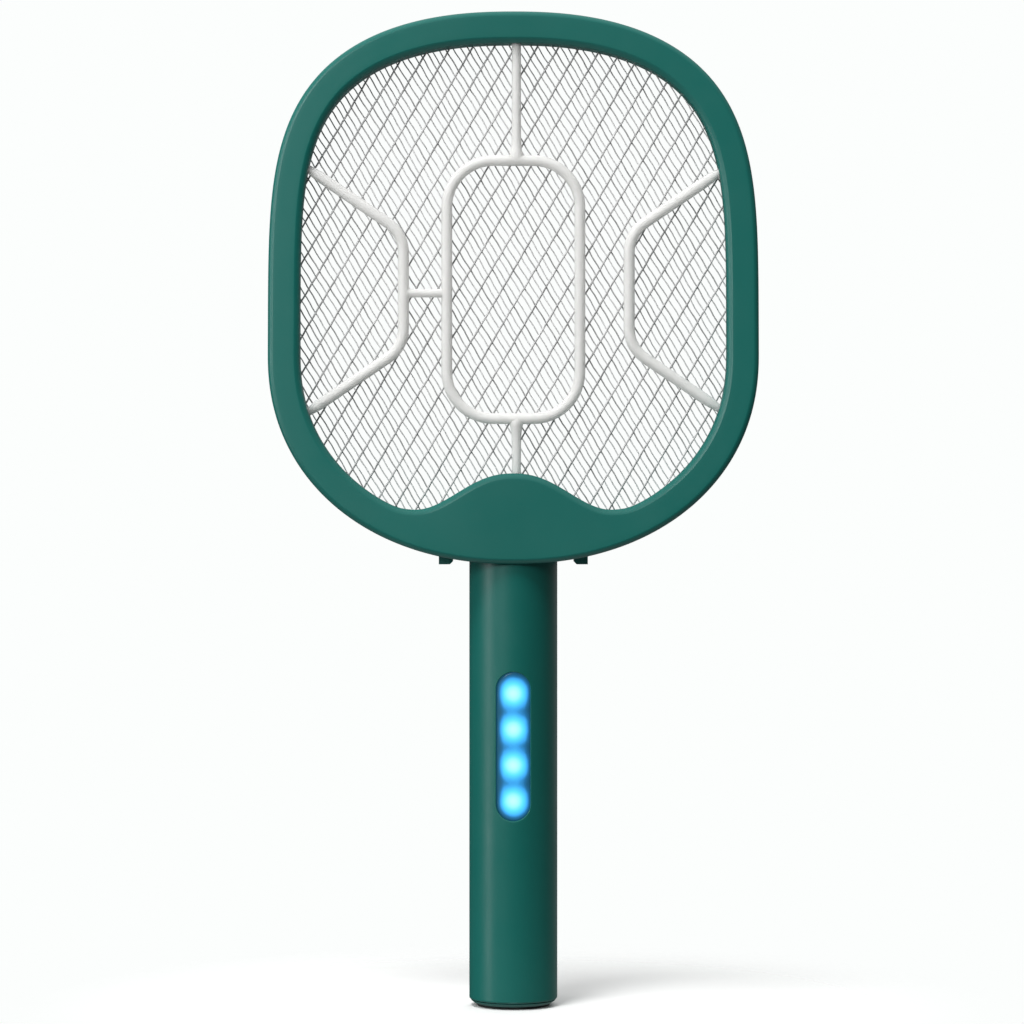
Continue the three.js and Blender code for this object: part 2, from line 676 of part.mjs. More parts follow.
// Joins the two guards, passing under the carriers.
function guardJumper() {
  return lead([
    [-12, -5.6, 234.8], [-12, -3.6, 232.6], [-12, 3.6, 232.6], [-12, 5.6, 234.8],
  ], LEAD_R.highVoltage);
}

function cellLeadPositive() {
  return lead([[3.5, -3.2, 74.9], [5, -3.5, 78], [6, 0.5, 84], [6, 3.7, 88], [6, 3.8, 92]], LEAD_R.low);
}

function cellLeadNegative() {
  return lead([
    [-3, -6.9, 12], [-3.4, -6.9, 40], [-4, -6.9, 68], [-5.4, -3, 78], [-6, 3.7, 88], [-6, 3.8, 92],
  ], LEAD_R.low);
}

function lightLead() {
  return lead([[0, -10.1, 90], [0, -7, 87.4], [0, -1, 87.4], [0, 4.1, 90]], LEAD_R.low);
}

// ---------------------------------------------------------------- assembly

addPiece('head_front_shell', headShell(-1), 'green');
addPiece('head_rear_shell', headShell(1), 'green');
addPiece('front_brace_frame', braceFrame(-1), 'white');
addPiece('rear_brace_frame', braceFrame(1), 'white');
addPiece('front_guard_mesh', wireMesh(-GUARD.to, -GUARD.from), 'wire');
addPiece('rear_guard_mesh', wireMesh(GUARD.from, GUARD.to), 'wire');
addPiece('high_voltage_grid', wireMesh(GRID.from, GRID.to), 'wire');
addPiece('front_grid_carrier',
  ringPastMouth(CARRIER.inner, CARRIER.outer, -CARRIER.to, -CARRIER.from), 'green');
addPiece('rear_grid_carrier',
  ringPastMouth(CARRIER.inner, CARRIER.outer, CARRIER.from, CARRIER.to), 'green');
addPiece('latch_clip_left', latchClip(-1), 'green');
addPiece('latch_clip_right', latchClip(1), 'green');
headScrewSpots().forEach(({ x, z }, i) => {
  addPiece(`head_screw_${i + 1}`, screw(x, z, faceDepth(z) - SCREW.sink + GAP, SCREW_TIP.head), 'steel');
});
neckScrewSpots().forEach(({ x, z }, i) => {
  const name = `neck_screw_${['left', 'right'][i]}`;
  addPiece(name, screw(x, z, faceDepth(z) - SCREW.sink + GAP, SCREW_TIP.neck), 'steel');
});

addPiece('handle_front_shell', handleFrontShell(), 'green');
addPiece('handle_rear_shell', handleRearShell(), 'green');
for (const [place, z] of Object.entries(HANDLE_SCREW_Z)) {
  addPiece(`handle_screw_${place}`, screw(0, z, HANDLE_R - SCREW.sink + GAP, SCREW_TIP.handle), 'steel');
}
addPiece('end_cap', endCap(), 'green');
addPiece('foot_pad', footPad(), 'rubber');
addPiece('light_lens', lightLens(), 'lens');
addPiece('light_board', lightBoard(), 'circuit');
LAMP_Z.forEach((z, i) => addPiece(`lamp_${i + 1}`, lamp(z), 'lamp'));
addPiece('battery_cell', batteryCell(), 'sleeve');
addPiece('battery_cradle', batteryCradle(), 'black');
addPiece('main_board', mainBoard(), 'circuit');
addPiece('step_up_transformer', transformer(), 'ferrite');
addPiece('storage_capacitor', storageCapacitor(), 'film');
addPiece('bleed_resistor', bleedResistor(), 'black');
addPiece('zap_switch', zapSwitch(), 'black');
addPiece('zap_button', zapButton(), 'green');
addPiece('mode_switch', modeSwitch(), 'steel');
addPiece('mode_slider', modeSlider(), 'black');
addPiece('usb_socket', usbSocket(), 'steel');
addPiece('high_voltage_lead', highVoltageLead(), 'red');
addPiece('guard_lead', guardLead(), 'black');
addPiece('guard_jumper', guardJumper(), 'black');
addPiece('cell_lead_positive', cellLeadPositive(), 'red');
addPiece('cell_lead_negative', cellLeadNegative(), 'black');
addPiece('light_lead', lightLead(), 'black');

export default racket;
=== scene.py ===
"""Looks of the electric insect racket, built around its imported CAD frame.

Lengths are millimetres, except in the studio, and finish_piece() turns them into metres.
The front faces -Y, +Z is up, and the origin is the middle of the foot.
"""
import math
from contextlib import contextmanager
from types import SimpleNamespace as Sizes

import bmesh
import bpy
import numpy as np
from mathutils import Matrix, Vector


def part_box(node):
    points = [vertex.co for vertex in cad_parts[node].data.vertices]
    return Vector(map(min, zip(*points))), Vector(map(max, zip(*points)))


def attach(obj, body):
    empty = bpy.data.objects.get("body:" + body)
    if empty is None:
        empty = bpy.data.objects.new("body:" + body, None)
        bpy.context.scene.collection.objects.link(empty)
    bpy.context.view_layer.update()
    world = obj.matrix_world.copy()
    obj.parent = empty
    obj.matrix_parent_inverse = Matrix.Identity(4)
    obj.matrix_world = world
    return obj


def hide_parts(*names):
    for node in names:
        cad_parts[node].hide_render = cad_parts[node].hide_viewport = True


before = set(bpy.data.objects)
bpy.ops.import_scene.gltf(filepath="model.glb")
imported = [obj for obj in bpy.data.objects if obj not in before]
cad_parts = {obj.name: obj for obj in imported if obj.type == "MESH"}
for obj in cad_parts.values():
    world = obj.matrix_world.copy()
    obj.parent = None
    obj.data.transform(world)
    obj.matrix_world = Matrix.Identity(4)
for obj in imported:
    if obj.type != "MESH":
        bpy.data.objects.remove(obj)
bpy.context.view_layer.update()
MM = 0.001

# ---- camera

CAMERA = Sizes(x=-0.6, distance=1600.0, height=224.07, view_angle=16.56)


def add_object(name, data):
    """A new object in the scene."""
    made = bpy.data.objects.new(name, data)
    bpy.context.scene.collection.objects.link(made)
    return made


def add_camera():
    """A level camera straight in front, as far away as the picture's perspective says."""
    data = bpy.data.cameras.new("camera")
    data.angle = math.radians(CAMERA.view_angle)
    data.clip_start, data.clip_end = 0.05, 50
    camera = add_object("camera", data)
    camera.location = (CAMERA.x * MM, -CAMERA.distance * MM, CAMERA.height * MM)
    camera.rotation_euler = (math.pi / 2, 0, 0)
    bpy.context.scene.camera = camera


add_camera()

# ---- sizes


def box_mm(node):
    """Lowest and highest corner of a CAD node, in millimetres."""
    low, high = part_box(node)
    return np.array(low) / MM, np.array(high) / MM


def middle_mm(node):
    """Middle of a CAD node, in millimetres."""
    return sum(box_mm(node)) / 2


HANDLE_FOOT_Z = box_mm("handle_front_shell")[0][2]
LENS_FACE = -box_mm("light_lens")[0][1]

GAP = 0.3  # between parts that don't touch
PAST = 6.0  # how far a cut runs on past the wall
ON_FACE = 0.01  # how close to a face counts as on it
ROD_SIDES = 20

# the ring
HEAD_MID_Z = 295.0
TOP_Z = 450.0
CHIN_Z = 200.7
HEAD_HALF_WIDTH = box_mm("head_front_shell")[1][0]
CROWN = Sizes(height=TOP_Z - HEAD_MID_Z, n=4.32, m=2.32)
JAW = Sizes(height=HEAD_MID_Z - CHIN_Z, n=2.16, m=2.15)
RING_WIDTH = 14.3
HUMP = Sizes(half_width=44.6, valley_z=224.8, height=16.6, fullness=1.15, blend=2.0)

# the ring's channel section
FACE_DEPTH = Sizes(crown=14.5, chin=23.5)
SHELL_WALL = 2.0
OUTER_EDGE = Sizes(across=2.5, deep=2.3, flat=1.15)
INNER_EDGE = Sizes(across=2.7, deep=2.1, flat=1.4)
REAR_INNER_EDGE = Sizes(across=2.0, deep=2.0, flat=1.0)
REAR_MOUTH = Sizes(setback=2.4, wall=1.2, hoop=1.6)
MOUTH_LIP = 6.6
CORNER_BREAK = 0.3
CLIP_ROOT = Sizes(low=(1.2, 1.2, -3.0), high=(-1.2, -1.2, -1.0))  # from the clip's corners
RING_STEPS = 288

# guards, charged grid and what keeps them apart
GUARD_Y = 5.6
CARRIER = Sizes(front=0.4, rear=1.2, outer=3.7, near=0.8, far=4.8)
MESH_RIM = Sizes(inner=1.2, outer=3.6, half_depth=0.45)

# braces across the opening
BRACE_Y = 9.0
HOOP = Sizes(inner=2.3, outer=3.9, near=6.6, far=11.2)
LOOP = Sizes(half_width=30.1, low=266.3, high=383.0, corner=21.0, r=2.45)
SPOKE = Sizes(x=1.4, r=2.05, flare=1.0, flare_length=3.2)
SIDE_BRACES = {"left": Sizes(x=-49.7, end=-95.2), "right": Sizes(x=52.4, end=95.2)}
SIDE_BRACE = Sizes(low=298.5, high=350.0, slope=0.68, corner=9.0, r=2.5, tip_r=1.6, taper=9.0)
LINK = Sizes(z=323.0, r=1.9, flare=0.4)

# screws
SCREW = Sizes(clear=1.4, head=2.1, height=1.5, sink=3.0, shank=1.0, point=1.5, rim=0.5,
              dome=0.95, boss=2.9)
CROSS = Sizes(reach=1.15, half_width=0.24, deep=0.9, past=0.3, narrows_to=0.55, widens_to=1.15)
RING_SCREWS = [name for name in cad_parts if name.startswith(("head_screw", "neck_screw"))]
HANDLE_SCREWS = ("handle_screw_upper", "handle_screw_lower")

# handle
HANDLE_R = 20.0
HANDLE_BORE = 17.8
HANDLE_HIGH = 204.0
NECK = Sizes(r=16.8, bore=14.6, high=228.0, floor=2.2)
HANDLE_SEAT = 1.5
BOSS_FROM = 9.0
HANDLE_STRIPS = 72
HANDLE_EDGE = Sizes(opening=0.45, seam=0.2, foot=1.0, border=3.0)

# what fills the handle's openings
WINDOW = Sizes(z=118.6, half_width=7.4, half_height=33.2, rim=2.2, back=15.9, edge=0.5)
BUTTON = Sizes(z=162.0, half_width=6.5, half_height=11.0, top=22.0, edge=0.9,
               flange=1.6, flange_from=14.0, flange_to=15.3)
BUTTON_DISH = [(1.3, 0), (1.9, 0.12), (3.2, 0.42), (4.6, 0.62), (6.2, 0.7)]
SLIDER = Sizes(z=122.0, half_width=2.8, half_height=3.5, root=15.4, face=21.1, top=21.6,
               edge=0.4, flat_from=1.2, travel=3.0)
RIDGE = Sizes(height=0.6, half=0.32, inset=0.5, shorter_by=0.25)
SLIDER_PLATE = Sizes(half_width=5.0, half_height=10.5, start=14.2, end=15.6)
SLIDER_FINGER = Sizes(half_width=1.2, half_height=1.2, start=12.2, end=14.6)
SOCKET = Sizes(z=96.0, half_width=4.5, half_height=1.6, wall=0.4, depth=4.0, edge=0.15, lip=0.1)
SOCKET_TONGUE = Sizes(half_width=3.0, half_height=0.35, sink=1.0)
SOCKET_PIN = Sizes(reach=2.3, half_width=0.18, half_height=0.4, sink=1.6)

# foot
CAP = Sizes(low=1.1, flat=16.9, bend=(17.3, 1.1), cone=(17.6, 1.4), shoulder=(18.8, 2.2),
            brow=(19.3, 2.5), r=19.2, lip=2.7, plug=17.4, plug_high=6.2, plug_bore=15.4, floor=3.0)
FOOT = Sizes(r=16.5, edge=0.4, thick=0.8, grooves=(6, 9, 12), groove_half=0.5,
             groove_deep=0.35, base=15.8)

# ---- mesh building


def merged(bodies):
    """Several closed bodies as one list of points and one list of faces."""
    points, faces = [], []
    for more_points, more_faces in bodies:
        faces.extend(tuple(len(points) + i for i in face) for face in more_faces)
        points.extend(more_points)
    return points, faces


def grid_faces(rows, columns, close_rows):
    """Quads over a grid whose columns close on themselves, and whose rows do too if asked."""
    faces = []
    for i in range(rows if close_rows else rows - 1):
        for j in range(columns):
            a, b = i * columns, (i + 1) % rows * columns
            k = (j + 1) % columns
            faces.append((a + j, a + k, b + k, b + j))
    return faces


def band(sections):
    """A closed band through sections of equal length."""
    sections = np.asarray(sections)
    rows, columns = sections.shape[:2]
    return sections.reshape(-1, 3), grid_faces(rows, columns, True)


def loft(rings):
    """Rings joined in turn, the first and last closed with a flat face."""
    rings = np.asarray(rings)
    rows, columns = rings.shape[:2]
    faces = grid_faces(rows, columns, False)
    faces.append(tuple(range(columns)))
    faces.append(tuple((rows - 1) * columns + i for i in range(columns)))
    return rings.reshape(-1, 3), faces


def tube(path, radii, sides, closed=False):
    """A round rod along a path, with one radius for each point of it."""
    path = np.asarray(path, float)
    radii = np.broadcast_to(radii, len(path))
    ahead = np.roll(path, -1, 0) - np.roll(path, 1, 0)
    if not closed:
        ahead[0], ahead[-1] = path[1] - path[0], path[-1] - path[-2]
    ahead /= np.linalg.norm(ahead, axis=1, keepdims=True)
    side = np.cross(ahead, (0, 1, 0))
    side /= np.linalg.norm(side, axis=1, keepdims=True)
    up = np.cross(side, ahead)
    turns = np.linspace(0, 2 * math.pi, sides, endpoint=False)
    around = side[:, None] * np.cos(turns)[:, None] + up[:, None] * np.sin(turns)[:, None]
    rings = path[:, None] + around * radii[:, None, None]
    return band(rings) if closed else loft(rings)


def lathe(profile, axis_point=(0, 0, 0), axis="z", sides=96):
    """A body turned about an axis. The profile is [radius, height along the axis] pairs."""
    turns = np.linspace(0, 2 * math.pi, sides, endpoint=False)
    rings = []
    for radius, height in profile:
        radius = max(radius, 0.01)
        c, s = radius * np.cos(turns), radius * np.sin(turns)
        h = np.full(sides, float(height))
        rings.append(np.stack([c, s, h] if axis == "z" else [c, h, s], 1) + axis_point)
    return loft(rings)


def washer(outer, inner, low, high, axis_point, sides=32):
    """A short tube about an axis along Y."""
    turns = np.linspace(0, 2 * math.pi, sides, endpoint=False)
    corners = [(inner, low), (outer, low), (outer, high), (inner, high)]
    x, _, z = axis_point
    return band([[(x + r * math.cos(t), y, z + r * math.sin(t)) for r, y in corners]
                 for t in turns])


def block(low, high):
    """A box between two corners."""
    x, y, z = zip(low, high)
    rings = [[(x[i], y[j], level) for i, j in ((0, 0), (1, 0), (1, 1), (0, 1))] for level in z]
    return loft(rings)


def bar(size, near, far, z, x=0.0):
    """A box along Y from near to far, with its middle at (x, z)."""
    return block((x - size.half_width, near, z - size.half_height),
                 (x + size.half_width, far, z + size.half_height))


def rounded(corner, start, finish, steps=6):
    """Points of a quarter-round edge from start to finish, bulging towards the corner."""
    corner, start, finish = (np.array(p, float) for p in (corner, start, finish))
    centre = start + finish - corner
    turns = np.linspace(0, math.pi / 2, steps)
    return [centre + (start - centre) * math.cos(t) + (finish - centre) * math.sin(t) for t in turns]


@contextmanager
def edited(mesh):
    """The mesh opened for editing, and written back afterwards."""
    build = bmesh.new()
    build.from_mesh(mesh)
    yield build
    build.to_mesh(mesh)
    build.free()


def bare_object(name, points, faces):
    """A mesh object in millimetres with its faces turned outwards."""
    mesh = bpy.data.meshes.new(name)
    mesh.from_pydata([tuple(p) for p in points], [], faces)
    with edited(mesh) as build:
        bmesh.ops.remove_doubles(build, verts=build.verts, dist=1e-4)
        bmesh.ops.recalc_face_normals(build, faces=build.faces)
    return add_object(name, mesh)


def combine(target, meshes, operation="DIFFERENCE"):
    """Cuts other bodies out of the target, or joins them to it."""
    others = [bare_object("other", *mesh) for mesh in meshes]
    for other in others:
        modifier = target.modifiers.new("combine", "BOOLEAN")
        modifier.operation = operation
        modifier.solver = "EXACT"
        modifier.object = other
    final = bpy.data.meshes.new_from_object(
        target.evaluated_get(bpy.context.evaluated_depsgraph_get()))
    target.modifiers.clear()
    spent = target.data
    target.data = final
    bpy.data.meshes.remove(spent)
    for other in others:
        bpy.data.objects.remove(other)


def dress(made, finish, keep_sharp=False):
    """Paints an object and smooths its shading."""
    made.data.materials.clear()
    made.data.materials.append(MATERIALS[finish])
    made.data.shade_smooth()
    weighted = made.modifiers.new("even_shading", "WEIGHTED_NORMAL")
    weighted.keep_sharp = keep_sharp
    weighted.weight = 60


def finish_piece(made, finish, node, body="racket", smooth=40):
    """Scales a piece to metres, dresses it, ties it to its body and hides the CAD node it stands in
    for.
    """
    made.data.transform(((MM, 0, 0, 0), (0, MM, 0, 0), (0, 0, MM, 0), (0, 0, 0, 1)))
    dress(made, finish, keep_sharp=True)
    made.data.set_sharp_from_angle(angle=math.radians(smooth))
    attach(made, body)
    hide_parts(node)


def add_piece(name, mesh, finish, node, body="racket", smooth=40):
    """A piece of its own from points and faces."""
    finish_piece(bare_object(name, *mesh), finish, node, body, smooth)


# ---- curves of the head


def outline(angle):
    """Points (x, z) of the head's outline. The angle turns from +X towards +Z."""
    across, up = np.cos(angle), np.sin(angle)
    above = up >= 0
    height = np.where(above, CROWN.height, JAW.height)
    x = np.sign(across) * HEAD_HALF_WIDTH * np.abs(across) ** (2 / np.where(above, CROWN.m, JAW.m))
    z = HEAD_MID_Z + np.sign(up) * height * np.abs(up) ** (2 / np.where(above, CROWN.n, JAW.n))
    return np.stack([x, z], -1)


def inset(curve, distance):
    """The same curve moved inwards, or outwards where the distance is negative."""
    step = 1e-4

    def moved(angle):
        along = curve(angle + step) - curve(angle - step)
        along = along / np.linalg.norm(along, axis=-1, keepdims=True)
        return curve(angle) + distance * np.stack([-along[..., 1], along[..., 0]], -1)

    return moved


ring_inside = inset(outline, RING_WIDTH)


def mouth(angle):
    """The opening: the ring's inside, lifted smoothly over the hump at the bottom."""
    point = ring_inside(angle)
    x, z = point[..., 0], point[..., 1]
    reach = np.minimum(np.abs(x) / HUMP.half_width, 1) ** HUMP.fullness
    floor = HUMP.valley_z + HUMP.height * (1 + np.cos(math.pi * reach)) / 2
    z = (z + floor + np.hypot(z - floor, HUMP.blend)) / 2
    return np.stack([x, z], -1)


def even_angles(count):
    """Angles that step evenly along the outline."""
    fine = np.linspace(0, 2 * math.pi, 100001)
    steps = np.linalg.norm(np.diff(outline(fine), axis=0), axis=1)
    run = np.concatenate([[0], np.cumsum(steps)])
    return np.interp(np.linspace(0, run[-1], count, endpoint=False), run, fine)


ANGLES = even_angles(RING_STEPS)


def face_depth(z):
    """Depth of the ring's face at a height."""
    drop = (TOP_Z - z) / (TOP_Z - CHIN_Z)
    return FACE_DEPTH.crown + (FACE_DEPTH.chin - FACE_DEPTH.crown) * drop ** 2


def in_space(flat, depth):
    """Points (x, z) placed at a depth along Y."""
    return np.stack([flat[:, 0], np.broadcast_to(depth, len(flat)), flat[:, 1]], -1)


def ring_past_mouth(inner, outer, near, far):
    """A ring of rectangular section around the opening."""
    corners = [(inner, near), (outer, near), (outer, far), (inner, far)]
    return band(np.stack([in_space(inset(mouth, -out)(ANGLES), y) for out, y in corners], 1))


# ---- head


def shell_band(side):
    """The head shell's channel section, swept round the ring. side is -1 at the front.

    The rear shell's opening is a little wider, so that it stays hidden behind the front one.
    """
    turns = np.linspace(0, math.pi / 2, 8)
    setback = REAR_MOUTH.setback if side > 0 else 0.0
    mouth_wall = setback + (REAR_MOUTH.wall if side > 0 else SHELL_WALL)
    mouth_edge = REAR_INNER_EDGE if side > 0 else INNER_EDGE

    def at(curve, inward, depth):
        return in_space(inset(curve, inward)(ANGLES), side * depth)

    def under(curve, inward, sink):
        return at(curve, inward, face_depth(curve(ANGLES)[:, 1]) - sink)

    def corner(edge, curve, start, inward):
        return [under(curve, start + inward * edge.across * (1 - math.cos(t) ** edge.flat),
                      edge.deep * (1 - math.sin(t) ** edge.flat)) for t in turns]

    outer = corner(OUTER_EDGE, outline, 0, 1)
    inner = corner(mouth_edge, mouth, -setback, -1)[::-1]
    face = [outer[-1] + (inner[0] - outer[-1]) * share for share in (0.25, 0.5, 0.75)]
    return band(np.stack([
        at(outline, CORNER_BREAK, GAP / 2),
        at(outline, 0, GAP / 2 + CORNER_BREAK),
        *outer, *face, *inner,
        at(mouth, -setback, MOUTH_LIP + CORNER_BREAK),
        at(mouth, -setback - CORNER_BREAK, MOUTH_LIP),
        at(mouth, -mouth_wall, MOUTH_LIP),
        under(mouth, -mouth_wall, SHELL_WALL),
        under(outline, SHELL_WALL, SHELL_WALL),
        at(outline, SHELL_WALL, GAP / 2),
    ], 1))


# A tongue inside the front half, as (inward from the wall's outside, depth), closes a seam.
TONGUE = [(1.9, -3.0), (1.9, -0.3), (2.25, -0.15), (2.25, 1.2), (2.95, 1.2), (2.95, -3.0)]
TONGUE_ENDS = (5.0, 4.0)


def ring_tongue():
    """The tongue inside the rim, all the way round the head."""
    return band(np.stack([in_space(inset(outline, inward)(ANGLES), depth)
                          for inward, depth in TONGUE], 1))


def head_shell(name, side, node):
    """Half of the green ring, with room for the handle, the clips, the screws and the braces."""
    shell = bare_object(name, *shell_band(side))
    if side < 0:
        combine(shell, [ring_tongue()], "UNION")
    seat = HANDLE_R + GAP
    cuts = [lathe([(seat, CHIN_Z - PAST), (seat, HANDLE_HIGH + HANDLE_SEAT)])]
    for clip in ("latch_clip_left", "latch_clip_right"):
        low, high = box_mm(clip)
        cuts.append(block(low + CLIP_ROOT.low, high + CLIP_ROOT.high))
    if side > 0:
        for screw in RING_SCREWS:
            outside = box_mm(screw)[1][1]
            floor = outside - SCREW.height - GAP
            recess = SCREW.head + GAP
            profile = [(recess, floor), (recess, outside + PAST)]
            cuts.append(lathe(profile, middle_mm(screw) * (1, 0, 1), "y", 40))
    cuts.extend(brace_rods(side, GAP, hoop=False))
    combine(shell, cuts)
    finish_piece(shell, "green", node)


def arc(centre, radius, start, turn, steps):
    """Points (x, z) along part of a circle."""
    angles = start + np.linspace(0, turn, steps)
    return np.stack([centre[0] + radius * np.cos(angles), centre[1] + radius * np.sin(angles)], -1)


def loop_path():
    """The oblong loop in the middle, as points (x, z)."""
    r, quarter = LOOP.corner, math.pi / 2
    x, low, high = LOOP.half_width - r, LOOP.low + r, LOOP.high - r
    centres = ((x, high), (-x, high), (-x, low), (x, low))
    return np.concatenate([arc(centre, r, i * quarter, quarter, 14)
                           for i, centre in enumerate(centres)])


def bezier(a, b, c, steps=10):
    """A bend from a to c that leans towards b."""
    t = np.linspace(0, 1, steps)[:, None]
    return (1 - t) ** 2 * np.array(a) + 2 * t * (1 - t) * np.array(b) + t ** 2 * np.array(c)


def side_path(x, end):
    """An upright with a rounded bend at each end and an arm out to the ring."""
    low, high = SIDE_BRACE.low, SIDE_BRACE.high
    corner, slope = SIDE_BRACE.corner, SIDE_BRACE.slope
    rise = slope * abs(end - x)
    run = math.hypot(1, slope)
    bend = np.array([math.copysign(corner / run, end), corner * slope / run])
    top = bezier((x + bend[0], high + bend[1]), (x, high), (x, high - corner))
    bottom = bezier((x, low + corner), (x, low), (x + bend[0], low - bend[1]))
    arm_in = np.linspace((end, high + rise), top[0], 20)[:-1]
    arm_out = np.linspace(bottom[-1], (end, low - rise), 20)[1:]
    return np.concatenate([arm_in, top, bottom, arm_out])


def side_radii(path, x, end, grow):
    """The arm is thinner where it meets the ring."""
    left = (abs(end - x) - np.abs(path[:, 0] - x)) / SIDE_BRACE.taper
    share = 1 - np.clip(left, 0, 1)
    share = share ** 2 * (3 - 2 * share)
    return SIDE_BRACE.r + grow + (SIDE_BRACE.tip_r - SIDE_BRACE.r) * share


def spoke(from_z, to_z, y, grow):
    """A straight rod that flares where it joins the loop, at to_z."""
    z = np.linspace(from_z, to_z, 24)
    near = np.exp(-np.abs(z - to_z + math.copysign(LOOP.r, to_z - from_z)) / SPOKE.flare_length)
    radii = SPOKE.r + grow + SPOKE.flare * near
    flat = np.stack([np.full(len(z), SPOKE.x), z], -1)
    return tube(in_space(flat, y), radii, ROD_SIDES)


def brace_rods(side, grow=0.0, hoop=True):
    """The ribs that cross the opening, as separate bodies.

    The rear ones are a little further out, so that the front ones cover them from the camera.
    """
    y = side * BRACE_Y
    spread = (CAMERA.distance + BRACE_Y) / (CAMERA.distance - BRACE_Y) if side > 0 else 1.0
    eye = np.array([CAMERA.x, 0, CAMERA.height])
    middle = (HOOP.inner + HOOP.outer) / 2
    top, bottom = inset(mouth, -middle)(np.array([math.pi / 2, -math.pi / 2]))[:, 1]
    rods = [spoke(top, LOOP.high, y, grow), spoke(bottom, LOOP.low, y, grow)]
    for arm in SIDE_BRACES.values():
        path = side_path(arm.x, arm.end)
        radii = side_radii(path, arm.x, arm.end, grow)
        rods.append(tube(in_space(path, y), radii, ROD_SIDES))
    if hoop:
        rods.append(tube(in_space(loop_path(), y), LOOP.r, ROD_SIDES, closed=True))
        link = np.linspace((SIDE_BRACES["left"].x, LINK.z), (-LOOP.half_width, LINK.z), 9)
        ends = np.abs(np.linspace(-1, 1, 9)) ** 4
        rods.append(tube(in_space(link, y), LINK.r + LINK.flare * ends, ROD_SIDES))
    return [(eye + (points - eye) * (spread, 1, spread), faces) for points, faces in rods]


def brace_frame(name, side, node):
    """The white ribs, joined to a hoop that the head shell holds."""
    near, far = sorted((side * HOOP.near, side * HOOP.far))
    out = REAR_MOUTH.hoop if side > 0 else 0.0
    hoop = bare_object(name, *ring_past_mouth(HOOP.inner + out, HOOP.outer + out, near, far))
    combine(hoop, brace_rods(side), "UNION")
    finish_piece(hoop, "white", node, smooth=50)


def carrier(name, side, node):
    """The ring that keeps the charged grid away from a guard."""
    near, far = side * CARRIER.near, side * CARRIER.far
    inner = CARRIER.front if side < 0 else CARRIER.rear
    add_piece(name, ring_past_mouth(inner, CARRIER.outer, near, far), "green", node)


# ---- wire meshes

WEAVE = Sizes(rise=59.5, fall=121.0, spacing=8.40, reach=1.9, crimp=0.14, sway=0.12,
              wander=0.24, wander_length=13.0, wander_phase=2.4, rise_bend=0.6, fall_bend=1.0,
              apart=0.28, shortest=3.0)
WIRES_EACH_SIDE = 26
WIRE_SIDES = 6


def crossings_of(boundary, origin, ahead, across):
    """Where a line crosses a closed outline, as distances along the line."""
    side = (boundary - origin) @ across
    next_side = np.roll(side, -1)
    hit = side * next_side < 0
    share = side[hit] / (side[hit] - next_side[hit])
    spots = boundary[hit] + (np.roll(boundary, -1, 0)[hit] - boundary[hit]) * share[:, None]
    return np.sort((spots - origin) @ ahead)


def wire_family(boundary, slant, shift, radius, y, bend):
    """Parallel wires that slant across the opening and end under the shells.

    The pitch grows a little from layer to layer, so that the layers line up from the front.
    """
    angle = math.radians(slant)
    ahead = np.array([math.cos(angle), math.sin(angle)])
    across = np.array([-ahead[1], ahead[0]])
    cell = WEAVE.spacing / math.sin(math.radians(WEAVE.fall - WEAVE.rise))
    eye = np.array([CAMERA.x, CAMERA.height])
    spread = 1 + (y + GUARD_Y) / CAMERA.distance
    first = (np.array([0, HEAD_MID_Z]) - eye) @ across
    wires = []
    for i in range(-WIRES_EACH_SIDE, WIRES_EACH_SIDE + 1):
        origin = eye + across * (first + (i + shift) * WEAVE.spacing) * spread
        spots = crossings_of(boundary, origin, ahead, across)
        for start, end in zip(spots[::2], spots[1::2]):
            if end - start < WEAVE.shortest:
                continue
            s = np.arange(start, end, cell / 4)
            s[-1] = end
            phase = 2 * math.pi * s / cell
            wander = s / WEAVE.wander_length + WEAVE.wander_phase * i + y
            wave = (WEAVE.sway * np.sin(phase + i) + WEAVE.wander * np.sin(wander)) * bend
            flat = origin + s[:, None] * ahead + wave[:, None] * across
            depth = y + WEAVE.crimp * np.cos(phase / 2 + math.pi * i)
            wires.append(tube(in_space(flat, depth), radius, WIRE_SIDES))
    return wires


def wire_mesh(name, node, y, rise, fall, finish):
    """Two crossing sets of wires in a rim. rise and fall are each set's shift and radius."""
    boundary = inset(mouth, -WEAVE.reach)(ANGLES)
    half = MESH_RIM.half_depth
    apart = WEAVE.apart if y > 0 else -WEAVE.apart
    mesh = merged([
        ring_past_mouth(MESH_RIM.inner, MESH_RIM.outer, y - half, y + half),
        *wire_family(boundary, WEAVE.rise, *rise, y + apart, WEAVE.rise_bend),
        *wire_family(boundary, WEAVE.fall, *fall, y - apart, WEAVE.fall_bend),
    ])
    add_piece(name, mesh, finish, node, smooth=70)


# ---- handle

# The wall is built flat, with u running round it, then wrapped about the Z axis.


def stadium(size, grow=0.0, longer=0.0, steps=14):
    """The slot outline of a size, grown all round or made longer, as points (x, z)."""
    half_width, half_height = size.half_width + grow, size.half_height + longer + grow
    r = min(half_width, half_height)
    along, up = half_width - r, half_height - r
    start = 0 if up >= along else -math.pi / 2
    return np.concatenate([arc((along, size.z + up), r, start, math.pi, steps),
                           arc((-along, size.z - up), r, start + math.pi, math.pi, steps)])


def circle(radius, z, steps=32):
    """A round opening on the axis, as points (x, z)."""
    return arc((0, z), radius, 0, 2 * math.pi, steps + 1)[:-1]


def unrolled(flat, radius):
    """Points seen from the front, as arc length round the wall and height."""
    return np.stack([radius * np.arcsin(flat[:, 0] / radius), flat[:, 1]], -1)


def prism(flat, low, high):
    """An outline (u, z) given depth from one radius to another."""
    return loft([[(u, r, z) for u, z in flat] for r in (low, high)])


STRAIGHT = Sizes(up_to=10.5, fades_by=15.0, outside=15.5)


